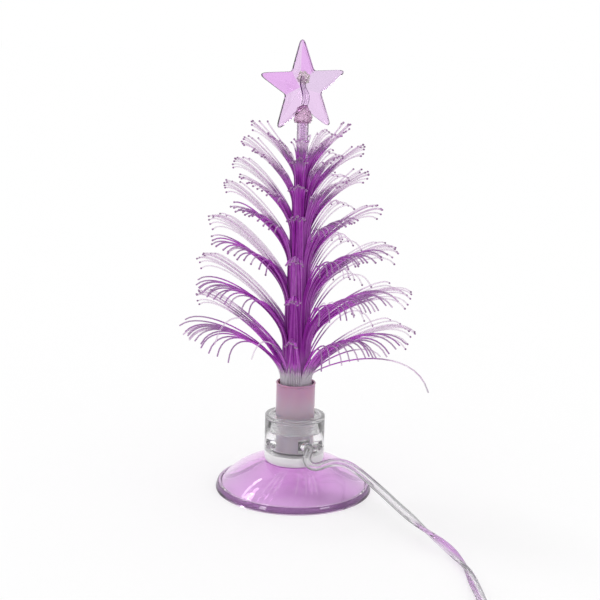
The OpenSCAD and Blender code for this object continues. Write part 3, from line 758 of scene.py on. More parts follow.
@dataclass
class Studio:
    """Camera, lamp, sky and floor."""

    pitch: float = 11.8
    roll: float = 1.57
    lens: float = 72.6
    sensor: float = 36.0
    near: float = 0.01
    white: float = 1.0
    even: float = 0.936
    front: float = 0.95
    white_from: Span = (-0.28, 0.02)
    band: float = 0.35
    band_spans: tuple[tuple[Span, Span], ...] = (((0.0, 1.0), (-0.34, -0.26)), ((1.0, 0.0), (-0.2, -0.04)))
    lamp_at: Point = (-0.52, 0.36, 0.80)
    lamp_strength: float = 0.35
    lamp_width: float = 12.0
    floor_half: float = 40000.0
    floor_drop: float = 0.03
    panels: tuple[Panel, ...] = (
        Panel((-0.35, 0.467, 0.812), (-0.613, 0.247, 0.751), 0.035, 8.0),
        Panel((-0.60, 0.26, 0.76), (-0.93, -0.05, 0.36), 0.04, 6.0),
        Panel((-0.60, -0.64, 0.54), (-0.66, -0.68, 0.36), 0.09, 7.0),
        Panel((0.62, -0.62, 0.46), (0.80, -0.42, 0.44), 0.12, 7.0),
    )

    def camera(self) -> None:
        """Sets the camera where the photograph was taken from."""
        data = bpy.data.cameras.new("camera")
        data.lens, data.sensor_width, data.clip_start = self.lens, self.sensor, self.near
        camera = bpy.data.objects.new("camera", data)
        tip = Matrix.Rotation(math.radians(90 - self.pitch), 4, "X")
        lean = Matrix.Rotation(math.radians(self.roll), 4, "Z")
        camera.matrix_world = Matrix.Translation([c * MM for c in EYE]) @ tip @ lean
        bpy.context.scene.collection.objects.link(camera)
        bpy.context.scene.camera = camera

    def lamp(self) -> None:
        """Adds one soft distant lamp, which glossy surfaces don't mirror."""
        data = bpy.data.lights.new("key", "SUN")
        data.energy, data.angle = self.lamp_strength, math.radians(self.lamp_width)
        lamp = bpy.data.objects.new("key", data)
        lamp.rotation_mode = "QUATERNION"
        lamp.rotation_quaternion = (-Vector(self.lamp_at)).to_track_quat("-Z", "Y")
        lamp.location = Vector(self.lamp_at)
        lamp.visible_glossy = False
        bpy.context.scene.collection.objects.link(lamp)

    def sky(self) -> None:
        """A white room: plain for the eye, even as light, with a duller band and bright panels to mirror."""
        world = bpy.data.worlds.new("studio")
        bpy.context.scene.world = world
        g = Graph(world)
        ray = g.add("TexCoord").outputs["Generated"]
        back = g.toward(ray, Vector((0, 1, 0)))
        room = g.span(back, self.front, self.white, self.white_from, True)
        rise, fall = (g.span(back, *ends, reads, True) for ends, reads in self.band_spans)
        room = g.number("SUBTRACT", room, g.product(rise, fall, self.band))
        for panel in self.panels:
            room = g.number("ADD", room, g.product(panel.shape(g, ray), panel.glow))
        path = g.add("LightPath").outputs
        eye = path["Is Camera Ray"]
        plain = g.product(eye, self.white)
        mirrored = g.product(g.number("SUBTRACT", 1.0, eye), room)
        seen = g.shader("Background", Color=WHITE, Strength=g.number("ADD", plain, mirrored))
        even = g.shader("Background", Color=WHITE, Strength=self.even)
        keen = g.number("MAXIMUM", eye, path["Is Glossy Ray"])
        g.finish(g.mixed(g.number("MAXIMUM", keen, path["Is Transmission Ray"]), even, seen))

    def floor(self) -> None:
        """Lays a wide white floor just under the part."""
        half, z = self.floor_half, -self.floor_drop
        corners = np.array([[-half, -half, z], [half, -half, z], [half, half, z], [-half, half, z]])
        sheet = (corners, np.array([[0, 1, 2, 3]]))
        floor = make_mesh("floor", sheet, [FloorPaper("floor_paper")], weld=False)

    def build(self) -> None:
        """Sets up the whole studio."""
        self.camera()
        self.sky()
        self.floor()
        self.lamp()
        log.info("studio is set")


@dataclass
class Lead:
    """Clear twin lead: its run from the holder, its coil under a tie, and its tail to the plug."""

    width: float = 3.1
    wire_r: float = 0.78
    web: float = 0.62
    strand_r: float = 0.17
    strand_sides: int = 7
    rings: int = 900
    exit: Point = (4.8, -8.8, 19.0)
    coil_at: float = 170.0
    stands_up_in: float = 25.0
    lies_down_in: float = 20.0
    pitch: float = 3.6
    inner_r: float = 10.7
    low_turns: float = 3.6
    high_turns: float = 3.65
    steps_in_turn: int = 30
    twist: Span = (67.0, 117.0)
    # Painted reflection of the cup on the cover over it, then purple on the wires from the twist on.
    cup_reflection: float = 0.45
    cup_reflection_span: tuple[Span, Span] = ((19, 23), (29, 35))
    one_fades: float = 0.3
    one_purple_span: tuple[Span, Span] = ((70, 78), (116, 129))
    other_purple: float = 0.5
    other_purple_span: tuple[Span, Span] = ((76, 84), (98, 106))
    run: tuple[Point, ...] = (
        (4.8, -8.8, 19), (5.5, -10.1, 19), (5.7, -11.7, 18.8), (5.3, -13.2, 18.2), (4.9, -14.5, 17.2),
        (5, -15.5, 16), (5.9, -16.1, 14.8), (7.6, -15.9, 13.9), (9.6, -14.7, 13.7), (11.6, -12.7, 13.8),
        (13.8, -10.6, 13.7), (16.3, -8.9, 13.4), (18.8, -8, 12.8), (21.1, -8.3, 12.1), (22.9, -9.3, 11.4),
        (24.9, -12.2, 10.9), (27.2, -16.2, 10.3), (29.8, -21, 9.6), (33.6, -28.3, 8.5), (38.2, -37.1, 7),
        (42.4, -45, 5.8), (45.3, -50, 4.9), (48.6, -54.8, 3.9), (51.8, -59.2, 2.9), (54.4, -64.2, 2.1),
        (56.5, -71.2, 1.7), (57.7, -77.6, 1.6), (58.5, -86, 1.6), (59.1, -94, 1.6), (59.5, -102, 1.6),
        (59.9, -110, 1.7), (60.2, -119, 1.9), (60.3, -128, 2.2), (60.3, -136.9, 2.3),
    )
    tail_steps: tuple[Point, ...] = (
        (-5.5, 0, -0.6), (-11.5, -0.4, -2.3), (-17, -0.7, -3.7), (-22.3, -0.8, -4.2), (-27.3, 0.3, -4.2),
        (-30.8, 3.1, -3.8), (-32.4, 6.8, -3), (-32.5, 10.6, -2.2), (-32.5, 13.8, -2.2),
    )

    def coil(self) -> Array:
        """Points of the coil: r shrinks to the inner radius and grows again, and z climbs a pitch there."""
        turns = self.low_turns + self.high_turns
        t = np.linspace(0, turns, int(turns * self.steps_in_turn))
        since = t - self.low_turns
        r = self.inner_r + self.pitch * np.abs(since)
        climb = np.clip(since * 2 + 0.5, 0, 1)
        centre = np.array(self.run[-1]) - [self.inner_r + self.pitch * self.low_turns, self.width, 0]
        a = 2 * np.pi * t
        return centre + columns(r * np.cos(a), -r * np.sin(a), self.pitch * climb)

    def route(self) -> Array:
        """The whole centreline, from inside the holder's hole to the plug."""
        coil = self.coil()
        end = coil[-1] - [self.width, 0, 0]
        return np.vstack([self.run, coil[1:], end, end + np.array(self.tail_steps)])

    def section(self, steps: int = 9) -> Array:
        """Outline of two round wires side by side, joined by a web.

        Each wire is an arc of radius wire_r about (+-wire_r, 0) that stops where it is web/2 high.

        Args:
            steps: Points on each arc.

        Returns:
            Outline as (u, v) pairs.
        """
        stop = math.pi - math.asin(self.web / self.wire_r)
        a = np.linspace(-stop, stop, steps)
        right = self.wire_r * columns(1 + np.cos(a), np.sin(a))
        return np.vstack([right, -right])

    def sides(self, path: Array, run: Array) -> Array:
        """Width direction along the route.

        The flat face looks at the eye beside the holder and over the cup, turns once right round on
        its way down to the table, lies flat on the table, and stands on edge in the coil.

        Args:
            path: Points of the centreline.
            run: Distance along it at each point.

        Returns:
            A direction for each point.
        """
        begins, ends = self.twist
        ahead = unit(np.gradient(path, axis=0))
        flat = smooth_step(ends, ends + self.lies_down_in, run)[:, None]
        side = unit(np.cross(ahead, unit(unit(np.array(EYE) - path) * (1 - flat) + flat * UP)))
        turn = 2 * np.pi * np.clip((run - begins) / (ends - begins), 0, 1)[:, None]
        side = np.cos(turn) * side + np.sin(turn) * np.cross(side, ahead)
        edge = smooth_step(self.coil_at - self.stands_up_in, self.coil_at, run)[:, None]
        return unit(side * (1 - edge) - edge * UP)

    def dye_and_painted_light(self, run: Array, rail: Array) -> Array:
        """Tint of the cover: a painted reflection of the cup in light purple over it, strong purple on one
        wire from the twist on, and painted shade in grey at both edges.

        Args:
            run: Distance along the lead at each point.
            rail: -1 to 1 across the width at each point.

        Returns:
            Tint: 0 is grey painted shade, 0.3 clear and 1 purple.
        """
        # Painted reflection: the cup's purple on the cover where it passes over the cup.
        over_cup = self.cup_reflection * hump(*self.cup_reflection_span, run)
        one = smooth_step(-0.25, 0.25, rail) * hump(*self.one_purple_span, run, self.one_fades)
        other = self.other_purple * hump(*self.other_purple_span, run)
        purple = np.clip(over_cup + one + other, 0, 1)
        # Painted shade: grey at both edges, where the clear wires look dark.
        grey = smooth_step(0.5, 0.9, np.abs(rail)) * (1 - 0.7 * purple)
        return 0.3 + 0.7 * purple - 0.28 * grey

    def build(self) -> None:
        path = spline(self.route(), self.rings)
        run = distances(path)
        across, section = self.sides(path, run), self.section()
        rail = np.tile(section[:, 0] / (2 * self.wire_r), len(path) + 2)
        dye_and_painted_light = self.dye_and_painted_light(np.repeat(np.pad(run, 1, "edge"), len(section)), rail)
        parts = Parts()
        parts.add(*swept(path, section, across), dye_and_painted_light)
        for side in (-self.wire_r, self.wire_r):
            core = circle(self.strand_r, self.strand_sides) + [side, 0]
            parts.add(*swept(path[2:-2], core, across[2:-2]), 0.0, 1)
        points, faces, dye_and_painted_light, slots = parts.joined()
        lead = make_mesh("twin_lead", (points, faces), [LEAD, STRANDS], slots, {"dye_and_painted_light": dye_and_painted_light}, sharp=60)
        settle(lead, Body.HOLDER, "lead_vinyl", "lead_run", "lead_coil", "lead_tail")
        log.info("lead is %.1f mm long", run[-1])


@dataclass
class SuctionCup:
    """Soft clear purple cup: a rim band, a swollen dome, a hollow, and the knob under the holder."""

    wall: float = 2.4
    rim_h: float = 2.7
    rim_w: float = 1.9
    rim_foot: float = 2.2
    swell: float = 2.3
    top_r: float = 10.5
    neck_r: float = 4.0
    neck_h: float = 1.6
    knob_r: float = 5.5
    knob_h: float = 2.0
    knob_bevel: float = 0.6
    lines: tuple[float, ...] = (-27, -22, -17, 4, 14, 20, 25)
    line_h: float = 0.4
    line_w: float = 2.0
    line_bend: float = 12.0
    hollow_r: float = 20.0
    band: Span = (0.925, 0.965)
    centre_dye: float = 0.75
    # Tint of the painted highlights.
    painted_light: float = 0.83
    sides: int = 360

    def dome(self, start: Span, end: Span, swell: float, steps: int = 28) -> Array:
        """Line from start to end, pushed out by 4 swell s (1 - s) square to it."""
        a, b = np.array(start), np.array(end)
        way = unit(b - a)
        s = np.linspace(0, 1, steps)[:, None]
        return a + (b - a) * s + np.array([way[1], -way[0]]) * 4 * swell * s * (1 - s)

    def flow_lines(self, points: Array, tint: Array, first: int) -> tuple[Array, Array]:
        """Lifts narrow ridges down the hollow's wall, as the moulding leaves, and gives them a painted
        highlight.

        A ridge at angle a_i is exp(-((a - a_i - bend s) / line_w)^2) strong, where s runs from 0 at
        the rim to 1 at the middle. It fades out at both ends.

        Args:
            points: The turned points, ring by ring.
            tint: Tint of each point.
            first: First ring of the hollow's wall.

        Returns:
            The points and the tint, with the hollow's wall moved inwards and painted paler at each ridge.
        """
        moved, dye_and_painted_light = points.copy().reshape(-1, self.sides, 3), tint.copy().reshape(-1, self.sides)
        hollow, wall_tint_and_highlight = moved[first:-1], dye_and_painted_light[first:-1]
        s = np.linspace(1, 0, len(hollow))[:, None]
        a = np.degrees(np.arctan2(hollow[:, :, 0], -hollow[:, :, 1]))
        for line in self.lines:
            off = (a - line - self.line_bend * (s - 0.4)) / self.line_w
            ridge = np.exp(-(off**2)) * np.sin(np.pi * s)
            hollow[:, :, :2] *= (1 - self.line_h * ridge / self.hollow_r)[:, :, None]
            # Painted highlight: each ridge is tinted towards the pale highlight.
            wall_tint_and_highlight += (self.painted_light - wall_tint_and_highlight) * np.clip(1.2 * ridge, 0, 1)
        return moved.reshape(-1, 3), dye_and_painted_light.ravel()

    def build(self) -> None:
        """Builds the cup from its outline, with its corners rounded."""
        _, (r, _, knob_top) = node_box("suction_cup")
        top, band_r = knob_top - self.knob_h - self.neck_h, r - self.rim_w
        rim = filleted([
            (r - self.rim_foot, 0, 0.2), (r, 0, 0.3), (r, 0.8, 0.4), (r - 0.7, self.rim_h - 0.2, 0.3),
            (r - 1.2, self.rim_h, 0.3), (band_r, self.rim_h + 0.1, 0.2),
            (band_r - 0.25, self.rim_h - 0.25, 0.1)])
        outer = self.dome((band_r - 0.3, self.rim_h - 0.2), (self.top_r, top), self.swell)
        under = (self.top_r - self.wall, top - self.wall)
        inner = self.dome((r - self.rim_foot - 0.8, 0.9), under, self.swell - 0.3)
        knob = filleted([
            (self.top_r, top, 0.5), (self.neck_r, top, 0.4), (self.neck_r, top + self.neck_h, 0.2),
            (self.knob_r, top + self.neck_h, 0.3), (self.knob_r, knob_top - self.knob_bevel, 0.3),
            (self.knob_r - self.knob_bevel, knob_top, 0.2), (0, knob_top, 0)])
        outline = np.vstack([rim, outer[1:-1], knob, [[0, top - self.wall]], inner[::-1]])
        points, faces = turned(outline, self.sides)
        away, height = outline[:, 0] / r, outline[:, 1]
        inside, outside = self.band
        # Painted shade: the rim band takes the darkest tint.
        dye_and_painted_light = np.where((away > outside) & (height > 0.3), 1.0, self.centre_dye * away)
        # Painted highlight: a pale line just inside the rim band.
        dye_and_painted_light[(away > inside) & (away <= outside) & (height > 1.8)] = self.painted_light
        tint = np.repeat(np.append(dye_and_painted_light, dye_and_painted_light[0]), self.sides)
        points, tint = self.flow_lines(points, tint, len(outline) - len(inner))
        cup = make_mesh("cup_dome", (points, faces), [CUP], values={"dye_and_painted_light": tint}, sharp=50)
        settle(cup, Body.CUP, "cup_vinyl", "suction_cup")


@dataclass
class ClearHolder:
    """Thick clear barrel with side holes, and the ring pressed into its mouth."""

    bore_r: float = 8.2
    skirt_r: float = 9.9
    skirt_h: float = 5.0
    snug: float = 0.05
    slip: float = 0.1
    lip_t: float = 1.2
    foot_draw: float = 0.5
    foot_h: float = 1.6
    groove_h: float = 3.9
    groove_d: float = 0.35
    groove_half: float = 0.25
    socket_top: float = 15.2
    floor_z: float = 16.2
    neck_r: float = 4.1
    socket_r: float = 5.9
    hole_r: float = 1.9
    hole_z: float = 19.0
    hole_angles: tuple[float, ...] = (28.6, -60.0, 60.0, 180.0)
    ribs: int = 5
    rib_d: float = 0.12

    def barrel(self) -> None:
        """Builds the barrel: a turned outline with the side holes cut through its wall."""
        (_, _, z0), (r, _, z1) = node_box("holder_barrel")
        draw, groove_z, lip_z = self.foot_draw, z0 + self.groove_h, z0 + self.lip_t
        skirt_r, ledge = self.skirt_r + self.snug, z1 - self.skirt_h - self.slip
        outline = filleted([
            (self.neck_r, z0, 0.2), (r - draw, z0, 0.5), (r - draw * 0.42, z0 + self.foot_h * 0.38, 1),
            (r - draw * 0.1, z0 + self.foot_h * 0.8, 1), (r, z0 + self.foot_h, 1),
            (r, groove_z - self.groove_half, 0.12), (r - self.groove_d, groove_z, 0.1),
            (r, groove_z + self.groove_half, 0.12), (r, z1, 0.25), (skirt_r, z1, 0.15),
            (skirt_r, ledge, 0.2), (self.bore_r, ledge, 0.2), (self.bore_r, self.floor_z, 0.4),
            (0, self.floor_z, 0),
            (0, self.socket_top, 0), (self.socket_r, self.socket_top, 0.3), (self.socket_r, lip_z, 0.2),
            (self.neck_r, lip_z, 0.3)], 4)
        barrel = make_mesh("clear_barrel", turned(outline), [ACRYLIC])
        for angle in self.hole_angles:
            path = along(angle, np.linspace(self.bore_r - 1, self.bore_r + 5, 4), self.hole_z)
            cut_away(barrel, swept(path, circle(self.hole_r, 40), np.tile(UP, (4, 1))), 40)
        barrel.data.materials.append(material(FROSTED))
        centres = np.empty(len(barrel.data.polygons) * 3, np.float32)
        barrel.data.polygons.foreach_get("center", centres)
        foot = (centres[2::3] < groove_z * MM).astype(np.int32)
        barrel.data.polygons.foreach_set("material_index", foot)
        settle(barrel, Body.HOLDER, "clear_acrylic", "holder_barrel")

    def ring(self) -> None:
        """Builds the ring: a flange with a rounded rim and a skirt with fine ribs."""
        (_, _, foot), (r, _, z1) = node_box("top_ring")
        top = foot + self.skirt_h
        z = np.linspace(foot + 0.3, top - 0.2, self.ribs * 8 + 1)
        rib = self.skirt_r - self.rib_d * (1 - np.cos((z - foot) / self.skirt_h * self.ribs * 2 * np.pi))
        skirt = columns(rib, z)[::-1]
        flange = [(self.bore_r, z1, 0.5), (r, z1, 0.6), (r, top, 0.25), (self.skirt_r - 0.2, top, 0)]
        inside, corner = [[self.bore_r, foot]], [[self.skirt_r - 0.3, foot]]
        outline = np.vstack([inside, filleted(flange, 6), skirt, corner])
        piece = make_mesh("clear_ring", turned(outline, 144), [RING], sharp=45)
        settle(piece, Body.HOLDER, "clear_acrylic", "top_ring")

    def build(self) -> None:
        """Builds the barrel and the ring."""
        self.barrel()
        self.ring()


@dataclass
class Sleeve:
    """Thin tube round the bundle, with a rolled mouth and a notch for the lead."""

    wall: float = 0.6
    roll_r: float = 0.35
    roll_out: float = 0.2
    roll_h: float = 1.0
    notch_w: float = 4.6
    notch_top: float = 21.35
    notch_angle: float = 28.6
    rings: int = 24

    def build(self) -> None:
        """Builds the tube as an outer and an inner wall that share a rounded mouth, then cuts the notch."""
        (_, _, foot), (full, _, mouth) = node_box("sleeve")
        r = full - self.roll_out
        a = np.linspace(-0.6 * np.pi, np.pi, 12)
        rolled = [full, mouth] + self.roll_r * columns(np.cos(a) - 1, np.sin(a) - 1)
        z = np.linspace(foot, mouth - self.roll_h, self.rings)
        tube = turned(np.vstack([columns(r, z), rolled, columns(r - self.wall, z)[::-1]]))
        piece = make_mesh("sleeve_tube", tube, [SleevePlastic("sleeve_plastic", mouth)])
        half, tall = self.notch_w / 2, self.notch_top - foot
        section = np.array([[-half, -2], [half, -2], [half, tall], [-half, tall]])
        path = along(self.notch_angle, np.array([r - 3.0, r + 2.0]), foot)
        cut_away(piece, swept(path, section, np.tile(along(self.notch_angle + 90, 1.0, 0.0), (2, 1))), 50)
        settle(piece, Body.TREE, "sleeve_plastic", "sleeve")


class Frond(int, Enum):
    """The six fronds of a tier, counted round from the front by the right."""

    FRONT = 0
    FRONT_RIGHT = 1
    BACK_RIGHT = 2
    BACK = 3
    BACK_LEFT = 4
    FRONT_LEFT = 5


@dataclass(frozen=True)
class Spread:
    """How one frond stands out from the trunk in each tier, lowest tier first."""

    turn: float
    fan: Span
    bunch: float
    roll: float
    reach: tuple[float, ...]
    rise: tuple[float, ...]
    tip: tuple[float, ...]
    dyed: tuple[float, ...]
    near: float = 0.0
    near_low: float = 1.0
    fullness: float = 1.0


SPREADS: dict[Frond, Spread] = {
    Frond.FRONT: Spread(
        5, (10, 34), 0.95, 0,
        reach=(25.3, 23.7, 20.9, 18.2, 15.1, 12.7, 11.0), rise=(16.3, 18.2, 17.2, 16.2, 14.7, 13.5, 11.0),
        tip=(18.9, 20.4, 19.3, 19.8, 18.4, 17.8, 15.6), dyed=(1.2, 1.1, 1.0, 0.9, 0.85, 0.7, 0.6)),
    Frond.FRONT_RIGHT: Spread(
        -4, (46, 44), 0.7, 6, near=-0.42,
        reach=(46.5, 43.7, 36.8, 24.4, 20.6, 17.8, 17.5), rise=(19.5, 21.0, 20.0, 16.0, 16.0, 14.5, 13.0),
        tip=(16.5, 19.2, 20.6, 17.7, 20.0, 18.6, 17.5), dyed=(0.66, 0.70, 0.70, 0.62, 0.6, 0.55, 0.5)),
    Frond.BACK_RIGHT: Spread(
        -8, (34, 34), 0.8, 5, fullness=0.72,
        reach=(46.3, 44.0, 38.2, 31.0, 25.1, 23.6, 17.6), rise=(17.0, 17.5, 18.0, 17.0, 16.5, 15.5, 14.0),
        tip=(17.1, 18.4, 20.7, 21.1, 22.2, 21.2, 20.5), dyed=(0.35, 0.5, 0.4, 0.45, 0.4, 0.45, 0.5)),
    Frond.BACK: Spread(
        -20, (44, 44), 0.8, 0, fullness=0.65,
        reach=(41.4, 38.7, 34.2, 29.7, 24.8, 20.7, 18.0), rise=(22.0, 22.0, 21.0, 18.5, 17.0, 15.5, 14.0),
        tip=(17.5, 19.0, 20.0, 20.5, 20.0, 18.5, 17.0), dyed=(0.35, 0.35, 0.35, 0.35, 0.3, 0.3, 0.3)),
    Frond.BACK_LEFT: Spread(
        14, (8, 38), 0.9, -4, fullness=0.65,
        reach=(44.9, 43.8, 38.9, 32.8, 28.5, 24.5, 20.6), rise=(22.5, 24.0, 24.5, 22.0, 20.0, 17.0, 14.0),
        tip=(27.5, 29.0, 29.5, 28.1, 25.5, 22.8, 19.7), dyed=(0.5, 0.2, 0.2, 0.3, 0.3, 0.35, 0.35)),
    Frond.FRONT_LEFT: Spread(
        6, (40, 46), 0.65, -8, near=0.42, near_low=0.4,
        reach=(47.6, 42.6, 35.7, 27.6, 24.4, 19.7, 13.8), rise=(20.0, 21.5, 21.0, 18.0, 16.0, 14.5, 11.5),
        tip=(18.8, 21.4, 22.7, 21.2, 20.0, 19.3, 16.3), dyed=(0.62, 0.68, 0.75, 0.72, 0.6, 0.5, 0.45)),
}


@dataclass
class FibreTree:
    """Seven tiers of six fronds, each a leaf of fibres that leaves the trunk and bends over.

    The strays are fibres of the lowest tier that lie away from their fronds, each as (turn of its
    foot, turn of its tip, reach, rise, tip).
    """

    fibre_d: float = 0.56
    bead_d: float = 0.84
    mouth_z: float = 42.3
    bundle_r: float = 6.1
    stem_r: float = 2.2
    foot: tuple[float, ...] = (44.4, 58.0, 73.0, 88.0, 100.0, 110.5, 119.5)
    count: tuple[int, ...] = (14, 14, 14, 13, 13, 12, 11)
    front_count: tuple[int, ...] = (9, 11, 11, 11, 11, 11, 10)
    strays: tuple[tuple[float, ...], ...] = (
        (40, 62, 54.0, 11.8, 2.6), (-38, -42, 43.0, 26.0, 20.0), (55, 70, 32.7, 12.0, 11.7),
        (-30, -30, 31.7, 17.0, 13.8))
    stray_dye: float = 0.5
    clearest: float = 0.72
    bends_at: float = 0.62
    droop: float = 6.0
    first_turn: float = -10.0
    between: float = 60.0
    flutes: int = 24
    rings: int = 20
    sides: int = 6
    seed: int = 7

    def trunk_r(self, tier: int) -> float:
        """Radius of the trunk where a tier leaves it."""
        return self.bundle_r - (self.bundle_r - self.stem_r - 0.54) * tier / 6

    def arcs(
        self, tier: int, foot_a: Array, over_a: Array, tip_a: Array, reach: Array,
        rise: Array, tip: Array
    ) -> tuple[Array, Array]:
        """Centrelines of some fibres of a tier.

        Each fibre climbs the trunk, then follows the cubic curve that leaves its foot straight up,
        passes a point at 0.62 of its reach, and ends at its tip. The cubic's third control point is
        the one that puts the curve through that point at k = 0.6.

        Args:
            tier: Tier, 0 for the lowest.
            foot_a: Turn of each foot from the front.
            over_a: Turn at 0.62 of the reach.
            tip_a: Turn of each tip.
            reach: Distance of each tip from the axis.
            rise: Height at 0.62 of the reach, over the foot.
            tip: Height of each tip over the foot.

        Returns:
            Points (fibres, rings, 3) and the share of each fibre's arc at each ring.
        """
        foot, r, k = self.foot[tier], self.trunk_r(tier) - 0.3, 0.6
        first = along(foot_a, r, foot - 1.0)
        over = first + np.outer(0.6 * rise, UP)
        through = along(over_a, self.bends_at * reach, foot + rise)
        end = along(tip_a, reach, foot + tip)
        past = through - (1 - k) ** 3 * first - 3 * k * (1 - k) ** 2 * over - k**3 * end
        past /= 3 * k**2 * (1 - k)
        t = np.linspace(0, 1, self.rings)[None, :, None]
        arc = ((1 - t) ** 3 * first[:, None] + 3 * t * (1 - t) ** 2 * over[:, None]
               + 3 * t**2 * (1 - t) * past[:, None] + t**3 * end[:, None])
        root = along(foot_a, r, self.below(tier, 1.5, 4.0))
        line = np.concatenate([root[:, None], arc], axis=1)
        return line, np.broadcast_to(np.append(-0.1, np.linspace(0, 1, self.rings)), line.shape[:2])

    def below(self, tier: int, in_sleeve: float, in_tier: float) -> float:
        """Height a little inside the sleeve for the lowest tier, or below the next lower tier's foot."""
        return self.mouth_z - in_sleeve if tier == 0 else self.foot[tier - 1] - in_tier

    def frond(self, tier: int, frond: Frond, rng: np.random.Generator) -> tuple[Array, Array]:
        """Centrelines of one frond's fibres, which droop and shorten towards its two sides.

        Args:
            tier: Tier, 0 for the lowest.
            frond: Frond round the tier.
            rng: Source of the small differences between fibres.

        Returns:
            Points (fibres, rings, 3) and the share of each fibre's arc at each ring.
        """
        shape = SPREADS[frond]
        n = self.front_count[tier] if frond is Frond.FRONT else round(self.count[tier] * shape.fullness)
        share = (np.arange(n) - (n - 1) / 2) / (n - 1)
        spread = share * (2 * np.abs(share)) ** 0.7 + rng.normal(0, 0.02, n)
        droop = self.droop * share**2 + rng.uniform(-0.7, 0.7, n)
        tilt = shape.roll * shape.reach[tier] / 46 * spread
        middle = self.first_turn + self.between * frond
        foot_a = middle + share * self.between * (n - 1) / n
        fan = spread * (shape.fan[0] + (shape.fan[1] - shape.fan[0]) * tier / 6)
        over_a, tip_a = middle + shape.turn + fan * shape.bunch, middle + shape.turn + fan
        near = abs(shape.near) * min(1, shape.near_low + (1 - shape.near_low) * tier / 2)
        cut = near * np.clip(0.5 + np.sign(shape.near) * share, 0, 1) ** 1.3
        reach = shape.reach[tier] * (1 - 0.3 * share**2 - cut) * rng.uniform(0.94, 1.0, n)
        lower = 1 - 0.45 * cut
        rise = shape.rise[tier] * lower - 0.6 * droop + 0.3 * tilt
        return self.arcs(tier, foot_a, over_a, tip_a, reach, rise, shape.tip[tier] * lower - droop + tilt)

    def tubes(self, line: Array, dye_and_painted_light: Array, beaded: bool) -> tuple[Array, ...]:
        """Thin tubes round many lines at once, each ending in a bead or a round end.

        Ring i is the circle r_i (cos a side + sin a up). The last rings swell to the bead and close:
        r = bead_r sin(b) at bead_r (1 - cos b) along the line.

        Args:
            line: Points (fibres, rings, 3).
            dye_and_painted_light: Dye at each point, whose highest values are near-black painted shade.
            beaded: Whether the tips swell to beads.

        Returns:
            Points, quads, the dye and painted light of each point and the finish slot of each quad.
        """
        n = len(line)
        ahead = unit(np.gradient(line, axis=1))
        level = columns(-line[:, -1, 1], line[:, -1, 0], 0.0)[:, None]
        side = unit(level - ahead * np.sum(level * ahead, axis=2, keepdims=True))
        up = np.cross(ahead, side)
        bead_r = (self.bead_d if beaded else self.fibre_d * 1.06) / 2
        b = np.radians([40.0, 75.0, 110.0, 145.0, 180.0] if beaded else [80.0, 95.0, 110.0, 145.0, 180.0])
        step = ahead[:, -1:] * (bead_r * (1 - np.cos(b)))[None, :, None]
        centres = np.concatenate([line[:, :1], line, line[:, -1:] + step], axis=1)
        radii = np.concatenate([[0], np.full(line.shape[1], self.fibre_d / 2), bead_r * np.sin(b)])
        pad = ((0, 0), (1, len(b)), (0, 0))
        side, up = np.pad(side, pad, "edge"), np.pad(up, pad, "edge")
        u, v = circle(1.0, self.sides).T[:, :, None]
        around = u * side[:, :, None] + v * up[:, :, None]
        points = centres[:, :, None] + radii[None, :, None, None] * around
        quads = grid_faces(points.shape[1], self.sides)
        faces = quads[None] + (np.arange(n) * points.shape[1] * self.sides)[:, None, None]
        full = np.pad(dye_and_painted_light, ((0, 0), (1, len(b))), "edge")
        slot = (np.arange(points.shape[1] - 1) > line.shape[1]) & beaded
        slots = np.tile(np.repeat(slot, self.sides), n).astype(int)
        return points.reshape(-1, 3), faces.reshape(-1, 4), np.repeat(full, self.sides), slots

    def see_through(self, dye_and_painted_light: Array, height: Array) -> Array:
        """How clear fibres are: clearest without dye, but not where they are packed in the trunk's foot."""
        above = smooth_step(self.mouth_z + 9, self.mouth_z + 14, height)
        return self.clearest * (1 - smooth_step(0.08, 0.34, dye_and_painted_light)) * above

    def dye_and_painted_light(self, end: float, line: Array, where: Array, rng: np.random.Generator) -> Array:
        """Dye along the fibres: none at the sleeve, full up the trunk, and fading out along the arc. Its
        highest values reach the near-black painted shade.

        Args:
            end: Share of the arc where the dye has half faded.
            line: The fibres' points.
            where: Share of the arc at each point.
            rng: Source of the small differences between fibres.

        Returns:
            Dye at each point, from 0 to 1.
        """
        each = (len(line), 1)
        fade = 1 - smooth_step(-0.28, 0.24, where - (end + rng.uniform(-0.06, 0.06, each)))
        left = 0.30 if end > 0.6 else 0.12
        low = smooth_step(self.mouth_z + 3.0, self.mouth_z + 10.5, line[:, :, 2] + rng.uniform(-1, 1, each))
        return np.clip((left + (1 - left) * fade) * low * rng.uniform(0.5, 0.98, each), 0, 1)

    def core(self, tier: int, sides: int = 96) -> tuple[Array, Array, Array]:
        """Fluted trunk inside one tier's fibres: r = trunk - 0.75 + 0.22 |cos(flutes a / 2)|. Above the
        sleeve's mouth it is near black, a painted shade for the gaps between the fibres.
        """
        low, high = self.below(tier, 1.2, 2.0), self.foot[tier] + 3
        a = np.linspace(0, 2 * np.pi, sides, endpoint=False)
        r = self.trunk_r(tier) - 0.75 + 0.22 * np.abs(np.cos(self.flutes * a / 2))
        z = np.array([low, *np.linspace(low, high, 8), high, low])
        inside = np.isin(np.arange(len(z)), (0, len(z) - 2, len(z) - 1))
        wide = np.where(inside[:, None], self.stem_r, r)
        loop = columns(wide * np.cos(a), wide * np.sin(a), z[:, None])
        # Painted shade: the trunk takes the near-black end of the fibre's colours.
        dye_and_painted_light = 0.98 * smooth_step(self.mouth_z + 1.5, self.mouth_z + 10, loop[..., 2].ravel())
        return loop.reshape(-1, 3), grid_faces(len(z), sides), dye_and_painted_light

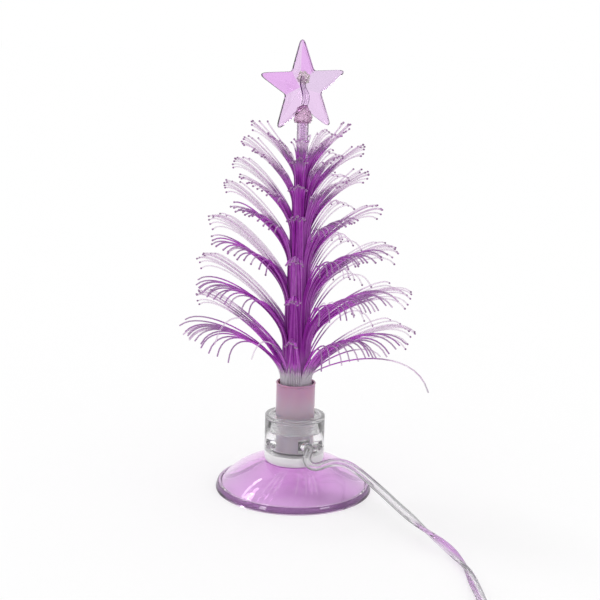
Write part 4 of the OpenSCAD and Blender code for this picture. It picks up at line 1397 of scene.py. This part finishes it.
    def tier(self, tier: int, rng: np.random.Generator) -> None:
        """Builds one tier's fronds round their fluted trunk.

        Args:
            tier: Tier, 0 for the lowest. Its side fronds, and those of the next, have no beads.
            rng: Source of the small differences between fibres.
        """
        parts = Parts()
        for frond in Frond:
            line, where = self.frond(tier, frond, rng)
            dye_and_painted_light = self.dye_and_painted_light(SPREADS[frond].dyed[tier], line, where, rng)
            parts.add(*self.tubes(line, dye_and_painted_light, tier > 1 or frond not in (Frond.FRONT_LEFT, Frond.FRONT_RIGHT)))
        if tier == 0:
            foot_a, tip_a, *rest = np.array(self.strays).T
            line, where = self.arcs(tier, foot_a, tip_a, tip_a, *rest)
            parts.add(*self.tubes(line, self.dye_and_painted_light(self.stray_dye, line, where, rng), False))
        loose = parts.count
        parts.add(*self.core(tier))
        points, faces, dye_and_painted_light, slots = parts.joined()
        clear = self.see_through(dye_and_painted_light, points[:, 2])
        clear[loose:] = 0.0
        values = {"dye_and_painted_light": dye_and_painted_light, "clear": clear}
        piece = make_mesh(f"fronds_{tier + 1}", (points, faces), [FIBRE, BEAD], slots, values, sharp=80)
        settle(piece, Body.TREE, "fibre_purple", f"fibre_tier_{tier + 1}")

    def build(self) -> None:
        """Builds one piece for each tier."""
        rng = np.random.default_rng(self.seed)
        for tier in range(len(self.foot)):
            self.tier(tier, rng)


@dataclass
class StemAndStar:
    """Tinted stem, its ribbed core, the star's shell, and the glue, collar and strip that hold it."""

    tube_wall: float = 0.6
    rib_pitch: float = 0.95
    rib_d: float = 0.25
    rib_step: float = 0.12
    core_r: float = 1.15
    notch_r: float = 7.4
    tip_r: float = 19.3
    tip_round: float = 4.5
    notch_round: float = 1.0
    steps: int = 7
    rim: float = 1.4
    ridge: float = 2.3
    wall: float = 0.9
    star_turn: float = 205.0
    lean: float = 2.6
    star_z: float = 152.8
    # Facets in painted shade and in painted light, and the rows of the side wall, which is in painted shade.
    painted_shade: tuple[int, ...] = (0, 7, 8)
    painted_light: tuple[int, ...] = (1, 2)
    side_rows: tuple[int, ...] = (7, 8)
    strip_w: float = 2.6
    strip_t: float = 0.9
    strip_sway: float = 0.7
    strip_turn: float = 25.0
    stem_fit: float = 2.25
    lump_pitch: float = 0.75
    collar_lump: float = 0.24
    drop_lump: float = 0.26

    def stem(self) -> None:
        """Builds the tube."""
        (_, _, z0), (r, _, z1) = node_box("stem_tube")
        inside = r - self.tube_wall
        tube = filleted([(r, z0, 0.1), (r, z1, 0.2), (inside, z1, 0.2), (inside, z0, 0.1)], 3)
        settle(make_mesh("stem", turned(tube, 64), [STEM]), Body.TREE, "stem_tint", "stem_tube")

    def core(self) -> None:
        """Builds the core inside the tube: r = core_r - rib_d (1 + cos(2 pi z / rib_pitch)) / 2."""
        (_, _, z0), (_, _, z1) = node_box("stem_core")
        z = np.arange(z0, z1, self.rib_step)
        r = self.core_r - self.rib_d * (1 + np.cos(z / self.rib_pitch * 2 * np.pi)) / 2
        outline = np.vstack([[[0, z0]], columns(r, z), [[0, z[-1]]]])
        piece = make_mesh("ribbed_core", turned(outline, 24), [STEM_CORE])
        settle(piece, Body.TREE, "fibre_purple", "stem_core")

    def outline(self, shrink: float) -> Array:
        """Five-pointed outline with rounded tips, as (across, up) pairs.

        Args:
            shrink: How far the outline lies inside the outer one.

        Returns:
            The outline's points, as many for any shrink.
        """
        k = np.arange(10)
        a, tips = np.radians(90 - self.lean + 36 * k), k % 2 == 0
        tip_r = self.tip_r - shrink / math.sin(math.radians(18))
        notch_r = self.notch_r - shrink / math.sin(math.radians(126))
        r = np.where(tips, tip_r, notch_r)
        cut = np.where(tips, self.tip_round * (1 - 0.3 * shrink), self.notch_round)
        return filleted(columns(r * np.cos(a), r * np.sin(a), cut), self.steps)

    def shell(self) -> Shape:
        """The star's closed shell.

        The front is a cone over the outline, so it has a flat facet on each side of every ridge. It
        meets the side wall in a small round. The hollow is the same shape, a wall's thickness inside.

        Returns:
            Points and quads, with the star upright about its own centre and its front along -Y.
        """
        outer, inner = self.outline(0.0), self.outline(self.wall)
        front, back = -self.rim, self.wall * 0.6 - self.rim
        rows = [(outer * s, front - self.ridge * (1 - s)) for s in (0.0, 0.25, 0.5, 0.75, 0.93)]
        rows += [(outer * 0.975, front - 0.06), (outer * 0.994, front + 0.18), (outer, front + 0.5),
                 (outer, -0.25), (outer * 0.992, 0.0), (inner, 0.0), (inner * 0.99, back)]
        rows += [(inner * s, back - self.ridge * (1 - s)) for s in (0.75, 0.5, 0.25, 0.0)]
        points = np.concatenate([np.insert(row, 1, y, axis=1) for row, y in rows])
        return points, grid_faces(len(rows), len(outer))

    def facets(self, count: int) -> Array:
        """Finish of each of the shell's faces: some facets are in painted shade, some in painted light, and
        the side wall in the darkest painted shade.

        Args:
            count: Number of the shell's quads, which run row by row.

        Returns:
            Slot numbers: 0 plain, 1 painted shade, 2 painted light, 3 side wall in painted shade.
        """
        row, column = np.divmod(np.arange(count), len(self.outline(0.0)))
        facet = (column - self.steps // 2) // self.steps % 10
        kinds = [np.isin(row, self.side_rows), np.isin(facet, self.painted_shade), np.isin(facet, self.painted_light)]
        return np.select(kinds, [3, 1, 2], 0)

    def star(self) -> None:
        """Builds the star's shell, turned about its centre and lifted to it."""
        points, faces = self.shell()
        a = math.radians(self.star_turn)
        turn = np.array([[math.cos(a), math.sin(a), 0], [-math.sin(a), math.cos(a), 0], UP])
        placed = points @ turn + [0, 0, self.star_z]
        worn = [STAR, STAR_PAINTED_SHADE, STAR_PAINTED_LIGHT, STAR_PAINTED_SIDE_SHADE]
        star = make_mesh("star_shell", (placed, faces), worn, self.facets(len(faces)), sharp=14)
        settle(star, Body.TREE, "star_tint", "star")

    def lumpy(self, points: Array, size: float) -> Array:
        """Points pushed about by sums of sines of their own places, as set glue is."""
        x, y, z = (points / self.lump_pitch).T
        return points + size * columns(
            np.sin(2.1 * z + 1.3 * y) + 0.6 * np.sin(5.3 * z + 2 * x),
            np.sin(1.7 * x + 2.3 * z + 1) + 0.6 * np.sin(4.7 * z - 3 * x),
            np.sin(2.6 * x - 1.9 * y + 2) + 0.5 * np.sin(4.1 * y + 3 * x))

    def collar(self) -> None:
        """Builds the lumpy collar that joins the star's foot to the stem."""
        (_, _, z0), (r, _, z1) = node_box("star_socket")
        stem_top = node_box("stem_tube")[1][2] + 0.1
        t = np.linspace(0, 1, 28)
        wide = (r - 0.25) * np.interp(t, (0, 0.12, 0.35, 0.6, 0.85, 1), (0.84, 0.97, 1, 0.82, 0.6, 0.36))
        z = z0 + 0.2 + (z1 - z0 - 0.3) * t
        inside = [[0, z[-1] + 0.05], [0, stem_top], [self.stem_fit, stem_top]]
        points, faces = turned(np.vstack([[[self.stem_fit, z[0]]], columns(wide, z), inside]), 48)
        collar = make_mesh("glue_collar", (self.lumpy(points, self.collar_lump), faces), [COLLAR], sharp=70)
        settle(collar, Body.TREE, "glue", "star_socket")

    def drop(self) -> None:
        """Builds the lumpy drop of glue at the star's middle, from a ball."""
        low, high = node_box("star_glue")
        u = np.linspace(0, np.pi, 18)[:, None]
        x, y = circle(1.0, 28).T
        ball = columns(np.sin(u) * x, np.sin(u) * y, np.cos(u))
        points = (low + high) / 2 + ball.reshape(-1, 3) * (high - low) / 2 * 0.9
        shape = (self.lumpy(points, self.drop_lump), grid_faces(*ball.shape[:2]))
        settle(make_mesh("glue_drop", shape, [GLUE], sharp=70), Body.TREE, "glue", "star_glue")

    def strip(self) -> None:
        """Builds the clear strip up the star's open side: it sways as a sine and turns both ways.

        Half its thickness at u, from -1 to 1 across it, is half_t (0.72 + 0.28 cos(3.5 pi u)), which
        gives it flutes, and its edges and one flute are dark with painted shade, for the dark lines that the
        clear strip shows.
        """
        low, high = node_box("star_stalk")
        s = np.linspace(0, 1, 40)
        out, beside = along(self.star_turn - 180.0, 1.0, 0.0), along(self.star_turn - 90.0, 1.0, 0.0)
        path = ((low + high) / 2 * [1, 1, 0] + np.outer(self.strip_sway * np.sin(2 * np.pi * s), beside)
                + np.outer(low[2] + 0.05 + (high[2] - low[2] - 0.1) * s, UP))
        turn = np.radians(self.strip_turn * np.sin(2 * np.pi * s + 0.8))[:, None]
        u = np.linspace(-0.96, 0.96, 19)
        thick = self.strip_t / 2 * (0.72 + 0.28 * np.cos(3.5 * np.pi * u))
        front = columns(self.strip_w / 2 * u, -thick)
        section = np.vstack([front, (front * [1, -1])[::-1]])
        # Painted shade: dark at both edges and along one flute.
        dark = smooth_step(0.6, 0.95, np.abs(u)) + 0.8 * np.exp(-(((u + 0.2) / 0.12) ** 2))
        dye_and_painted_light = np.tile(np.concatenate([dark, dark[::-1]]), len(path) + 2)
        shape = swept(path, section, np.cos(turn) * beside + np.sin(turn) * out)
        strip = make_mesh("star_strip", shape, [STRIP], values={"dye_and_painted_light": dye_and_painted_light}, sharp=60)
        settle(strip, Body.TREE, "glue", "star_stalk")

    def build(self) -> None:
        """Builds the stem, its core, the star, and what holds it."""
        self.stem()
        self.core()
        self.star()
        self.collar()
        self.drop()
        self.strip()


def main() -> None:
    """Builds the studio and every piece."""
    logging.basicConfig(level=logging.INFO, format="%(name)s: %(message)s")
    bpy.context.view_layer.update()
    bpy.context.scene.view_settings.view_transform = "Standard"
    for assembly in (Studio(), Lead(), SuctionCup(), ClearHolder(), Sleeve(), FibreTree(), StemAndStar()):
        assembly.build()
    dress_inner()


if __name__ == "__main__":
    main()
